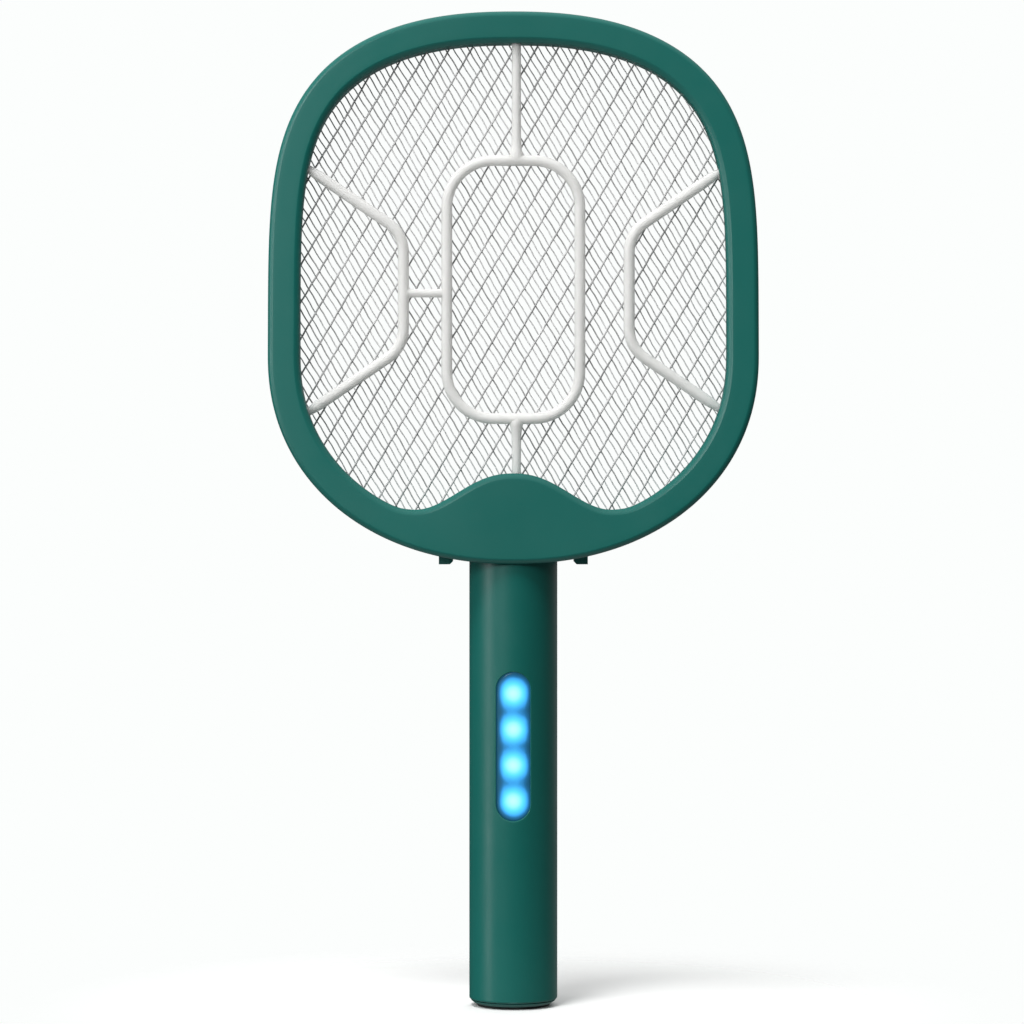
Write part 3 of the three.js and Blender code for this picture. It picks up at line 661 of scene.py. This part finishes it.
def rolled(u, r, surface):
    """The angle about the Z axis of a point that is u along the wall, at radius r.

    Near the middle a cut keeps its width through the wall, so what moves in it stays clear.
    """
    even = u / surface
    x = surface * math.sin(even)
    if r < STRAIGHT.outside or abs(x) > STRAIGHT.fades_by:
        return even
    share = (STRAIGHT.fades_by - abs(x)) / (STRAIGHT.fades_by - STRAIGHT.up_to)
    return even + (math.asin(x / r) - even) * min(share, 1.0)


def wrap(made, side, surface, levels=()):
    """Rolls a flat wall about the Z axis, after cutting it into strips and at some levels."""
    reach = math.pi / 2 * surface
    planes = [((0, 0, z), (0, 0, 1)) for z in levels]
    planes += [((u, 0, 0), (1, 0, 0)) for u in np.linspace(-reach, reach, HANDLE_STRIPS + 1)[1:-1]]
    with edited(made.data) as build:
        for spot, normal in planes:
            parts = build.verts[:] + build.edges[:] + build.faces[:]
            bmesh.ops.bisect_plane(build, geom=parts, plane_co=spot, plane_no=normal)
        for vertex in build.verts:
            u, r, z = vertex.co
            angle = rolled(u, r, surface)
            vertex.co = (r * math.sin(angle), side * r * math.cos(angle), z)
        bmesh.ops.recalc_face_normals(build, faces=build.faces)


def round_edges(made, chosen, width, segments=3):
    """Rounds the edges whose two ends both pass the test."""
    with edited(made.data) as build:
        edges = [edge for edge in build.edges if all(chosen(vertex.co) for vertex in edge.verts)
                 and edge.calc_face_angle(0) > 0.5]
        bmesh.ops.bevel(build, geom=edges, offset=width, segments=segments, profile=0.5,
                        affect="EDGES")


def handle_tongue(hand):
    """A strip that closes the seam on one side of the handle. hand is -1 or 1."""
    ends = (HANDLE_FOOT_Z + TONGUE_ENDS[0], HANDLE_HIGH - TONGUE_ENDS[1])
    return loft([[(hand * (HANDLE_R - GAP - inward), depth, z) for inward, depth in TONGUE]
                 for z in ends])


def handle_half(name, side, node, openings, screws):
    """Half of the handle's tube with its neck, its openings and the sleeves of its screws."""
    reach = math.pi / 2 * HANDLE_R - GAP / 2
    low, edge, floor = HANDLE_FOOT_Z, HANDLE_EDGE.foot, HANDLE_HIGH - NECK.floor
    foot = rounded((HANDLE_R, low), (HANDLE_R - edge, low), (HANDLE_R, low + edge))
    profile = [(HANDLE_BORE, low), *foot, (HANDLE_R, HANDLE_HIGH), (NECK.r, HANDLE_HIGH),
               (NECK.r, NECK.high), (NECK.bore, NECK.high), (NECK.bore, floor), (HANDLE_BORE, floor)]
    half = bare_object(name, *loft([[(u, r, z) for r, z in profile] for u in (-reach, reach)]))
    inside, outside = HANDLE_BORE - PAST, HANDLE_R + PAST
    combine(half, [prism(unrolled(flat, HANDLE_R), inside, outside) for flat in openings])

    border, skin = HANDLE_EDGE.border, HANDLE_R - ON_FACE

    def round_opening(at):
        return (at.y > skin and low + border < at.z < HANDLE_HIGH - border
                and abs(at.x) < reach - border)

    def along_seam(at):
        return at.y > skin and abs(at.x) > reach - ON_FACE

    round_edges(half, round_opening, HANDLE_EDGE.opening)
    round_edges(half, along_seam, HANDLE_EDGE.seam, 2)
    levels = [flat[:, 1].min() - 1 for flat in openings] + [flat[:, 1].max() + 1 for flat in openings]
    wrap(half, side, HANDLE_R, levels)
    tongues = [handle_tongue(hand) for hand in (-1, 1)] if side < 0 else []
    bosses = [washer(SCREW.boss, SCREW.clear, BOSS_FROM, HANDLE_R - SCREW.sink, spot)
              for spot in map(middle_mm, screws)]
    combine(half, tongues + bosses, "UNION")
    finish_piece(half, "green", node)


def lens():
    """The lamp cover sits just under the surface, with a hidden rim behind the wall."""
    cover = unrolled(stadium(WINDOW), HANDLE_R)
    flange = unrolled(stadium(WINDOW, WINDOW.rim), HANDLE_R)
    made = bare_object("lamp_window", *prism(cover, WINDOW.back, LENS_FACE))
    round_edges(made, lambda at: at.y > LENS_FACE - ON_FACE, WINDOW.edge, 4)
    combine(made, [prism(flange, WINDOW.back, HANDLE_BORE - GAP)], "UNION")
    wrap(made, -1, HANDLE_R)
    finish_piece(made, "lens", "light_lens")


def end_cap():
    """A cap with a chamfered rim and a plug that goes up into the handle."""
    flat, rim = (CAP.flat, CAP.low), (CAP.r, CAP.lip)
    profile = [(0, CAP.low), flat, *rounded(CAP.bend, flat, CAP.cone),
               CAP.shoulder, *rounded(CAP.brow, CAP.shoulder, rim),
               (CAP.plug, CAP.lip), (CAP.plug, CAP.plug_high),
               (CAP.plug_bore, CAP.plug_high), (CAP.plug_bore, CAP.floor), (0, CAP.floor)]
    add_piece("end_cap_ring", lathe(profile), "green", "end_cap")


def foot_pad():
    """A rubber disc with three ring grooves in its underside."""
    r, edge, thick, half = FOOT.r, FOOT.edge, FOOT.thick, FOOT.groove_half
    profile = [(0, 0), (FOOT.base, 0), *rounded((r, 0), (r - edge, 0), (r, edge), 4), (r, thick),
               (0, thick)]
    made = bare_object("foot_pad_disc", *lathe(profile))
    for groove in FOOT.grooves:
        points, faces = washer(groove + half, groove - half, -1, FOOT.groove_deep, (0, 0, 0), 64)
        combine(made, [([(x, z, y) for x, y, z in points], faces)])
    finish_piece(made, "rubber", "foot_pad")


# ---- rear controls


def pad(size, levels, steps=16):
    """Slot outlines stacked along Y. Each level is (inset, y)."""
    return loft([in_space(stadium(size, -inward, steps=steps), y) for inward, y in levels])


def zap_button():
    """A push button with a rounded edge and a shallow dish for the thumb."""
    skirt, low, high, top = -BUTTON.flange, BUTTON.flange_from, BUTTON.flange_to, BUTTON.top
    edge = rounded((0, top), (0, top - BUTTON.edge), (BUTTON.edge, top))
    dish = [(inward, top - deep) for inward, deep in BUTTON_DISH]
    cap = pad(BUTTON, [(skirt, low), (skirt, high), (0, high), *edge, *dish], 24)
    add_piece("zap_button_cap", cap, "green", "zap_button", "button")


def slider_ridge(step):
    """A half-round bar across the grip, shorter the further it is from the middle."""
    turns = np.linspace(0, math.pi, 7)
    width = SLIDER.half_width - RIDGE.inset - RIDGE.shorter_by * abs(step)
    return loft([[(x, SLIDER.top - RIDGE.height * (1 - math.sin(t)),
                   SLIDER.z + step + RIDGE.half * math.cos(t)) for t in turns]
                 for x in (-width, width)])


def mode_slider():
    """A small ridged grip on a plate that slides behind the wall."""
    face = SLIDER.face
    edge = rounded((0, face), (0, face - SLIDER.edge), (SLIDER.edge, face), 4)
    grip = pad(SLIDER, [(0, SLIDER.root), *edge, (SLIDER.flat_from, face)])
    made = bare_object("mode_slider_grip", *grip)
    behind = [bar(size, size.start, size.end, SLIDER.z) for size in (SLIDER_PLATE, SLIDER_FINGER)]
    ridges = [slider_ridge(step) for step in (-2, -1, 0, 1, 2)]
    combine(made, [*behind, *ridges], "UNION")
    finish_piece(made, "black", "mode_slider", "slider")


def charging_socket():
    """A metal shell with a plastic tongue and its contacts."""
    back, mouth_y = (corner[1] for corner in box_mm("usb_socket"))
    wall, floor = SOCKET.wall, back + SOCKET.depth
    lip = [(0, mouth_y - SOCKET.edge), (SOCKET.lip, mouth_y),
           (wall - SOCKET.lip, mouth_y), (wall, mouth_y - SOCKET.edge)]

    def add(name, mesh, finish):
        add_piece("charging_socket_" + name, mesh, finish, "usb_socket")

    add("shell", pad(SOCKET, [(0, back), *lip, (wall, floor)]), "plated")
    tongue = bar(SOCKET_TONGUE, floor - 1, mouth_y - SOCKET_TONGUE.sink, SOCKET.z)
    add("tongue", tongue, "black")
    pins = [bar(SOCKET_PIN, floor, mouth_y - SOCKET_PIN.sink, SOCKET.z, x)
            for x in np.linspace(-SOCKET_PIN.reach, SOCKET_PIN.reach, 6)]
    add("contacts", merged(pins), "gold")


def screw(node):
    """A pan-head screw with a cross recess, seen from the rear."""
    tip, top = (corner[1] for corner in box_mm(node))
    spot = middle_mm(node) * (1, 0, 1)
    r, shank, seat = SCREW.head, SCREW.shank, top - SCREW.height
    dome = [(r * math.cos(t), seat + SCREW.rim + SCREW.dome * math.sin(t))
            for t in np.linspace(0, math.pi / 2, 8)]
    profile = [(0, tip), (shank / 2, tip), (shank, tip + SCREW.point), (shank, seat), (r, seat),
               *dome]
    made = bare_object(node + "_pan_head", *lathe(profile, spot, "y", 40))
    for wide, tall in ((CROSS.reach, CROSS.half_width), (CROSS.half_width, CROSS.reach)):
        cross = [[(spot[0] + sx * wide * share, y, spot[2] + sz * tall * share)
                  for sx, sz in ((-1, -1), (1, -1), (1, 1), (-1, 1))]
                 for y, share in ((top - CROSS.deep, CROSS.narrows_to),
                                  (top + CROSS.past, CROSS.widens_to))]
        combine(made, [loft(cross)])
    finish_piece(made, "screw", node)


# ---- materials

# painted shade that the window's rim casts on the lens, strongest on the left
PAINTED_RIM_SHADE = Sizes(aside=0.5, inside=2.7, outside=0.3)
LAMP_REACH = 4.9


def srgb(*colour):
    """An 8-bit colour as linear RGBA."""
    shares = [value / 255 for value in colour]
    linear = [s / 12.92 if s <= 0.04045 else ((s + 0.055) / 1.055) ** 2.4 for s in shares]
    return (*linear, 1.0)


def grey(level):
    """A grey that is already linear, as RGBA."""
    return (level, level, level, 1.0)


class Nodes:
    """Makes the nodes of one tree. What goes into an input is a value or another node's output."""

    def __init__(self, tree):
        self.tree = tree

    def put(self, socket, value):
        if isinstance(value, bpy.types.NodeSocket):
            self.tree.links.new(value, socket)
        else:
            socket.default_value = value

    def node(self, kind, inputs=(), output=0, **settings):
        """A new node's output, after its settings and its inputs have been filled in."""
        made = self.tree.nodes.new("ShaderNode" + kind)
        for key, value in settings.items():
            setattr(made, key, value)
        for key, value in dict(inputs).items():
            self.put(made.inputs[key], value)
        return made.outputs[output] if made.outputs else None

    def math(self, operation, a, b=0.0):
        return self.node("Math", {0: a, 1: b}, operation=operation)

    def span(self, source, low, high, from_low=0.3, from_high=0.7, **settings):
        ends = {"From Min": from_low, "From Max": from_high, "To Min": low, "To Max": high}
        return self.node("MapRange", {"Value": source, **ends}, **settings)

    def seen_or_lighting(self, seen, lighting):
        """One shader where the camera looks, and another for light that bounces."""
        looks = self.node("LightPath", output="Is Camera Ray")
        return self.node("MixShader", {0: looks, 1: lighting, 2: seen})


class Paint(Nodes):
    """A Principled material and the procedural nodes that feed it."""

    def __init__(self, name, **uniform):
        self.material = bpy.data.materials.new(name)
        self.material.use_nodes = True
        super().__init__(self.material.node_tree)
        self.shader = self.tree.nodes["Principled BSDF"]
        for socket, value in uniform.items():
            self.shader.inputs[socket.replace("_", " ")].default_value = value
        self.where = self.node("TexCoord", output="Object")

    def feed(self, socket, source):
        self.tree.links.new(source, self.shader.inputs[socket])

    def noise(self, per_metre, detail=3.0, rough=0.55, squeeze=None):
        where = self.where
        if squeeze:
            where = self.node("Mapping", {"Vector": where, "Scale": squeeze})
        grain = {"Vector": where, "Scale": per_metre, "Detail": detail, "Roughness": rough}
        return self.node("TexNoise", grain, "Fac")

    def ramp(self, source, *stops):
        """A colour ramp. The stops are (position, colour), from low to high."""
        made = self.tree.nodes.new("ShaderNodeValToRGB")
        elements = made.color_ramp.elements
        while len(elements) < len(stops):
            elements.new(0.5)
        for element, (position, colour) in zip(elements, stops):
            element.position = position
            element.color = colour
        self.put(made.inputs["Fac"], source)
        return made.outputs["Color"]

    def mottle(self, source, dark, light):
        return self.ramp(source, (0.3, dark), (0.7, light))

    def mix(self, share, a, b, blend="MIX"):
        return self.node("Mix", {0: share, 6: a, 7: b}, 2, data_type="RGBA", blend_type=blend)

    def bump(self, source, strength, depth_mm):
        height = {"Strength": strength, "Distance": depth_mm * MM, "Height": source}
        self.feed("Normal", self.node("Bump", height))

    def edges(self, low=0.53, high=0.62):
        """Where the surface turns sharply outwards, from 0 to 1."""
        turn = self.node("NewGeometry", output="Pointiness")
        return self.span(turn, 0.0, 1.0, low, high)


def moulded(name, dark, light, roughness, grain=0.12, wear=None, **uniform):
    """Moulded plastic: faint flow marks, fine grain, and edges polished by use."""
    paint = Paint(name, **uniform)
    colour = paint.mottle(paint.noise(9, 4, 0.6, (1, 1, 0.35)), dark, light)
    colour = paint.mix(paint.span(paint.noise(1500, 2), 0.0, 0.10), colour, light)
    if wear:
        colour = paint.mix(paint.math("MULTIPLY", paint.edges(), 0.35), colour, wear)
    paint.feed("Base Color", colour)
    smudge = paint.noise(38, 5, 0.6)
    paint.feed("Roughness", paint.span(smudge, roughness - 0.04, roughness + 0.05))
    paint.bump(paint.noise(2600, 3, 0.6), grain, 0.03)
    return paint.material


def green_plastic():
    return moulded("green_plastic", (0.0022, 0.108, 0.090, 1), (0.0036, 0.124, 0.104, 1), 0.39,
                   wear=srgb(70, 130, 124))


def white_plastic():
    """Nylon lets a little light through, so its shaded side stays pale."""
    return moulded("white_plastic", srgb(208, 208, 205), srgb(217, 217, 214), 0.62, 0.08,
                   Subsurface_Weight=1.0, Subsurface_Radius=(1, 1, 1), Subsurface_Scale=0.011)


def black_plastic():
    return moulded("black_plastic", srgb(22, 24, 25), srgb(34, 37, 38), 0.5, 0.25,
                   wear=srgb(80, 84, 85))


def rubber():
    """Dull black rubber."""
    paint = Paint("foot_rubber")
    paint.feed("Base Color", paint.mottle(paint.noise(60, 4), srgb(24, 27, 27), srgb(44, 49, 48)))
    paint.feed("Roughness", paint.span(paint.noise(300), 0.72, 0.92))
    paint.bump(paint.noise(1800, 4), 0.4, 0.05)
    return paint.material


def metal(name, dark, light, roughness, streak=(1, 1, 1), shine=1.0):
    """Drawn or pressed metal. A low shine is metal dulled by a film of oxide."""
    paint = Paint(name, Metallic=shine)
    paint.feed("Base Color", paint.mottle(paint.noise(140, 4, 0.6, streak), dark, light))
    wear = paint.noise(420, 3, 0.6, streak)
    paint.feed("Roughness", paint.span(wear, roughness - 0.07, roughness + 0.09))
    paint.bump(paint.noise(1600, 3, 0.6, streak), 0.1, 0.02)
    return paint.material


def painted_rim_shade(paint):
    """Painted shade of the window's rim on the lens: 1 in the middle of the lamp window, falling to 0
    at its edge, most of all on the left.
    """
    across, height = (paint.node("SeparateXYZ", {0: paint.where}, axis) for axis in "XZ")
    straight = (WINDOW.half_height - WINDOW.half_width) * MM
    above = paint.math("ABSOLUTE", paint.math("SUBTRACT", height, WINDOW.z * MM))
    past = paint.math("MAXIMUM", paint.math("SUBTRACT", above, straight), 0.0)
    aside = paint.math("SUBTRACT", across, PAINTED_RIM_SHADE.aside * MM)
    squares = [paint.math("MULTIPLY", part, part) for part in (past, aside)]
    from_axis = paint.math("SQRT", paint.math("ADD", *squares))
    return paint.span(from_axis, 1.0, 0.0, (WINDOW.half_width - PAINTED_RIM_SHADE.inside) * MM,
                      (WINDOW.half_width + PAINTED_RIM_SHADE.outside) * MM)


def lens_glow():
    """Tinted plastic lit from behind by the four lamps. Their glow is painted on as emission, and
    painted shade darkens it towards the window's rim.
    """
    paint = Paint("lamp_window_plastic", Roughness=0.28, Emission_Strength=1.0)
    flat = paint.node("VectorMath", {0: paint.where, 1: (1, 0, 1)}, operation="MULTIPLY")
    glow = 0.0
    for lamp in KEPT_NODES["lamp"]:
        middle = (0, 0, middle_mm(lamp)[2] * MM)
        away = paint.node("VectorMath", {0: flat, 1: middle}, "Value", operation="DISTANCE")
        reach = paint.math("MULTIPLY", away, 1 / (LAMP_REACH * MM))
        fall = paint.math("MULTIPLY", paint.math("POWER", reach, 2.0), -1.0)
        glow = paint.math("ADD", glow, paint.math("EXPONENT", fall))
    haze = paint.span(paint.noise(260, 4), -0.015, 0.015)
    # painted shade: the glow, and the colours taken from it, darken towards the window's rim
    glow = paint.math("MULTIPLY", paint.math("ADD", glow, haze), painted_rim_shade(paint))
    paint.feed("Emission Color", paint.ramp(
        glow, (0.0, srgb(22, 72, 96)), (0.05, srgb(34, 106, 160)), (0.12, srgb(60, 160, 235)),
        (0.24, srgb(78, 196, 255)), (0.45, srgb(98, 230, 255)), (0.78, srgb(165, 252, 253)),
        (1.0, srgb(196, 255, 252))))
    paint.feed("Base Color", paint.ramp(glow, (0.0, srgb(14, 50, 62)), (0.3, srgb(20, 70, 90))))
    return paint.material


def lamp_body():
    """Clear resin around a lit lamp."""
    paint = Paint("lamp_resin", Roughness=0.3, Emission_Strength=1.5)
    spot = paint.noise(700)
    paint.feed("Base Color", paint.mottle(spot, srgb(190, 230, 240), srgb(235, 250, 252)))
    paint.feed("Emission Color", paint.mottle(spot, srgb(120, 225, 255), srgb(190, 250, 255)))
    return paint.material


def circuit():
    """Green solder resist over copper tracks."""
    paint = Paint("circuit_board", Roughness=0.35)
    turned = paint.node("Mapping", {"Vector": paint.where, "Rotation": (math.pi / 2, 0, 0)})
    tracks = {"Vector": turned, "Scale": 220, "Mortar Size": 0.09, "Color1": srgb(24, 86, 52),
              "Color2": srgb(19, 74, 44), "Mortar": srgb(52, 128, 76)}
    tint = paint.mottle(paint.noise(90), grey(0.85), grey(1.1))
    colour = paint.node("TexBrick", tracks, "Color")
    paint.feed("Base Color", paint.mix(1.0, colour, tint, "MULTIPLY"))
    paint.bump(paint.node("TexBrick", tracks, "Fac"), 0.3, 0.05)
    return paint.material


def film(name, dark, light, roughness=0.3):
    """Shrink sleeve or lacquer with soft folds."""
    paint = Paint(name)
    paint.feed("Base Color", paint.mottle(paint.noise(120, 3, 0.5, (1, 1, 0.3)), dark, light))
    paint.feed("Roughness", paint.span(paint.noise(500), roughness - 0.05, roughness + 0.1))
    paint.bump(paint.noise(350, 2, 0.5, (1, 1, 0.2)), 0.2, 0.1)
    return paint.material


KEPT_NODES = {
    "green": ["latch_clip_left", "latch_clip_right"],
    "circuit": ["light_board", "main_board"],
    "lamp": ["lamp_1", "lamp_2", "lamp_3", "lamp_4"],
    "cell": ["battery_cell"],
    "black": ["battery_cradle", "bleed_resistor", "zap_switch"],
    "ferrite": ["step_up_transformer"],
    "red_film": ["storage_capacitor"],
    "plated": ["mode_switch"],
    "red": ["high_voltage_lead", "cell_lead_positive"],
    "black_lead": ["guard_lead", "guard_jumper", "cell_lead_negative", "light_lead"],
}
LEAD_FINISHES = ("red", "black_lead")
KEPT_EDGE = 0.25

MATERIALS = {
    "green": green_plastic(),
    "white": white_plastic(),
    "black": black_plastic(),
    "rubber": rubber(),
    "wire": metal("wire_steel", grey(0.30), grey(0.60), 0.45, shine=0.3),
    "bright_wire": metal("bright_wire_steel", grey(0.74), grey(0.88), 0.5, shine=0.15),
    "screw": metal("screw_steel", srgb(150, 152, 155), srgb(196, 198, 200), 0.3),
    "plated": metal("plated_steel", srgb(176, 178, 180), srgb(214, 216, 218), 0.22, (1, 1, 0.1)),
    "gold": metal("contact_gold", srgb(196, 150, 62), srgb(226, 184, 96), 0.25),
    "lens": lens_glow(),
    "lamp": lamp_body(),
    "circuit": circuit(),
    "cell": film("cell_sleeve", srgb(36, 86, 150), srgb(52, 108, 178)),
    "ferrite": moulded("ferrite_core", srgb(44, 41, 38), srgb(66, 61, 57), 0.6, 0.4),
    "red_film": film("capacitor_film", srgb(120, 36, 26), srgb(156, 54, 40)),
    "red": film("red_insulation", srgb(160, 30, 24), srgb(196, 44, 34), 0.4),
    "black_lead": film("black_insulation", srgb(22, 24, 25), srgb(40, 42, 44), 0.4),
}


def dress_kept_nodes():
    """CAD nodes that stay get a material, and softened edges where they aren't leads."""
    for finish, nodes in KEPT_NODES.items():
        for name in nodes:
            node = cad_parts[name]
            if finish not in LEAD_FINISHES:
                bevel = node.modifiers.new("soft_edges", "BEVEL")
                bevel.width = KEPT_EDGE * MM
                bevel.segments = 3
                bevel.limit_method = "ANGLE"
                bevel.angle_limit = math.radians(40)
            dress(node, finish)


# ---- studio


def soft_light(name, place, target, size, power, reflected=True):
    """An area light: a disc of one size, or a rectangle of two."""
    data = bpy.data.lights.new(name, "AREA")
    data.energy = power
    if isinstance(size, tuple):
        data.shape = "RECTANGLE"
        data.size, data.size_y = size
    else:
        data.shape = "DISK"
        data.size = size
    made = add_object(name, data)
    made.location = place
    made.rotation_euler = (Vector(target) - made.location).to_track_quat("-Z", "Y").to_euler()
    made.visible_glossy = reflected


def emptied(owner):
    """The nodes of a world or a material, with none left in them."""
    owner.use_nodes = True
    owner.node_tree.nodes.clear()
    return Nodes(owner.node_tree)


SKY = Sizes(level=0.055, above=1.5, below=0.6, wide=2.0, behind=0.3, narrow=8.0,
            toward=(0.55, 0.83, 0))


def add_world():
    """White behind the object; as a light, brighter from above, below and behind on the right."""
    world = bpy.data.worlds.new("studio")
    bpy.context.scene.world = world
    nodes = emptied(world)
    way = nodes.node("TexCoord", output="Generated")
    up = nodes.node("SeparateXYZ", {0: way}, "Z")
    down = nodes.math("MULTIPLY", up, -1.0)
    back = nodes.node("VectorMath", {0: way, 1: SKY.toward}, "Value", operation="DOT_PRODUCT")
    glow = SKY.level
    for part, focus, level in ((up, SKY.wide, SKY.above), (down, SKY.wide, SKY.below),
                               (back, SKY.narrow, SKY.behind)):
        lobe = nodes.math("POWER", nodes.math("MAXIMUM", part, 0.0), focus)
        glow = nodes.math("ADD", nodes.math("MULTIPLY", lobe, level), glow)
    lit = nodes.node("Background", {"Strength": glow})
    seen = nodes.node("Background", {"Color": srgb(252, 254, 253), "Strength": 1.0})
    nodes.node("OutputWorld", {"Surface": nodes.seen_or_lighting(seen, lit)})


FLOOR = Sizes(half=1.5, seen=(0.81, 0.815, 0.81, 1), lighting=grey(0.4), fade=(0.05, 0.23))


def add_floor():
    """A pale floor that fades into the white background, and lights the object only a little."""
    mesh = bpy.data.meshes.new("floor")
    with edited(mesh) as build:
        bmesh.ops.create_grid(build, x_segments=8, y_segments=8, size=FLOOR.half)
    material = bpy.data.materials.new("pale_floor")
    nodes = emptied(material)
    where = nodes.node("TexCoord", output="Object")
    far = nodes.node("VectorMath", {0: where}, "Value", operation="LENGTH")
    share = nodes.span(far, 1.0, 0.0, *FLOOR.fade, interpolation_type="SMOOTHSTEP")
    clear = nodes.node("BsdfTransparent")
    pale = nodes.seen_or_lighting(
        *[nodes.node("BsdfDiffuse", {"Color": tone}) for tone in (FLOOR.seen, FLOOR.lighting)])
    faded = nodes.node("MixShader", {0: share, 1: clear, 2: pale})
    nodes.node("OutputMaterial", {"Surface": faded})
    mesh.materials.append(material)
    floor = add_object("floor", mesh)
    floor.visible_glossy = False


def add_studio():
    """The background, the floor and four soft lights. Places are in metres."""
    bpy.context.scene.view_settings.view_transform = "Standard"
    add_world()
    add_floor()
    soft_light("key", (-0.85, -1.45, 0.9), (0, 0, 0.28), 0.8, 13)
    soft_light("high_key", (-0.4, -0.75, 1.85), (0, 0, 0.22), 0.6, 23, reflected=False)
    soft_light("side_strip", (-1.22, -0.50, 0.4), (0, 0, 0.25), (0.34, 1.2), 5.5)
    soft_light("rear_fill", (0.5, 1.6, 0.9), (0, 0, 0.28), 0.9, 9, reflected=False)


# ---- assembly

for side, facing in ((-1, "front"), (1, "rear")):
    head_shell(f"ring_{facing}", side, f"head_{facing}_shell")
    brace_frame(f"braces_{facing}", side, f"{facing}_brace_frame")
    carrier(f"carrier_{facing}", side, f"{facing}_grid_carrier")
wire_mesh("wires_front_guard", "front_guard_mesh", -GUARD_Y, (0.34, 0.34), (0.60, 0.32), "wire")
wire_mesh("wires_charged_grid", "high_voltage_grid", 0.0, (0.36, 0.24), (0.93, 0.30), "bright_wire")
wire_mesh("wires_rear_guard", "rear_guard_mesh", GUARD_Y, (0.32, 0.22), (0.27, 0.28), "bright_wire")

handle_half("handle_front", -1, "handle_front_shell", [stadium(WINDOW, GAP, steps=24)], [])
handle_half("handle_rear", 1, "handle_rear_shell", [
    stadium(BUTTON, GAP, steps=20),
    stadium(SLIDER, GAP, SLIDER.travel),
    stadium(SOCKET, GAP),
    *[circle(SCREW.head + GAP, middle_mm(name)[2]) for name in HANDLE_SCREWS],
], HANDLE_SCREWS)
lens()
end_cap()
foot_pad()
zap_button()
mode_slider()
charging_socket()
for screw_name in [*RING_SCREWS, *HANDLE_SCREWS]:
    screw(screw_name)
dress_kept_nodes()
add_studio()
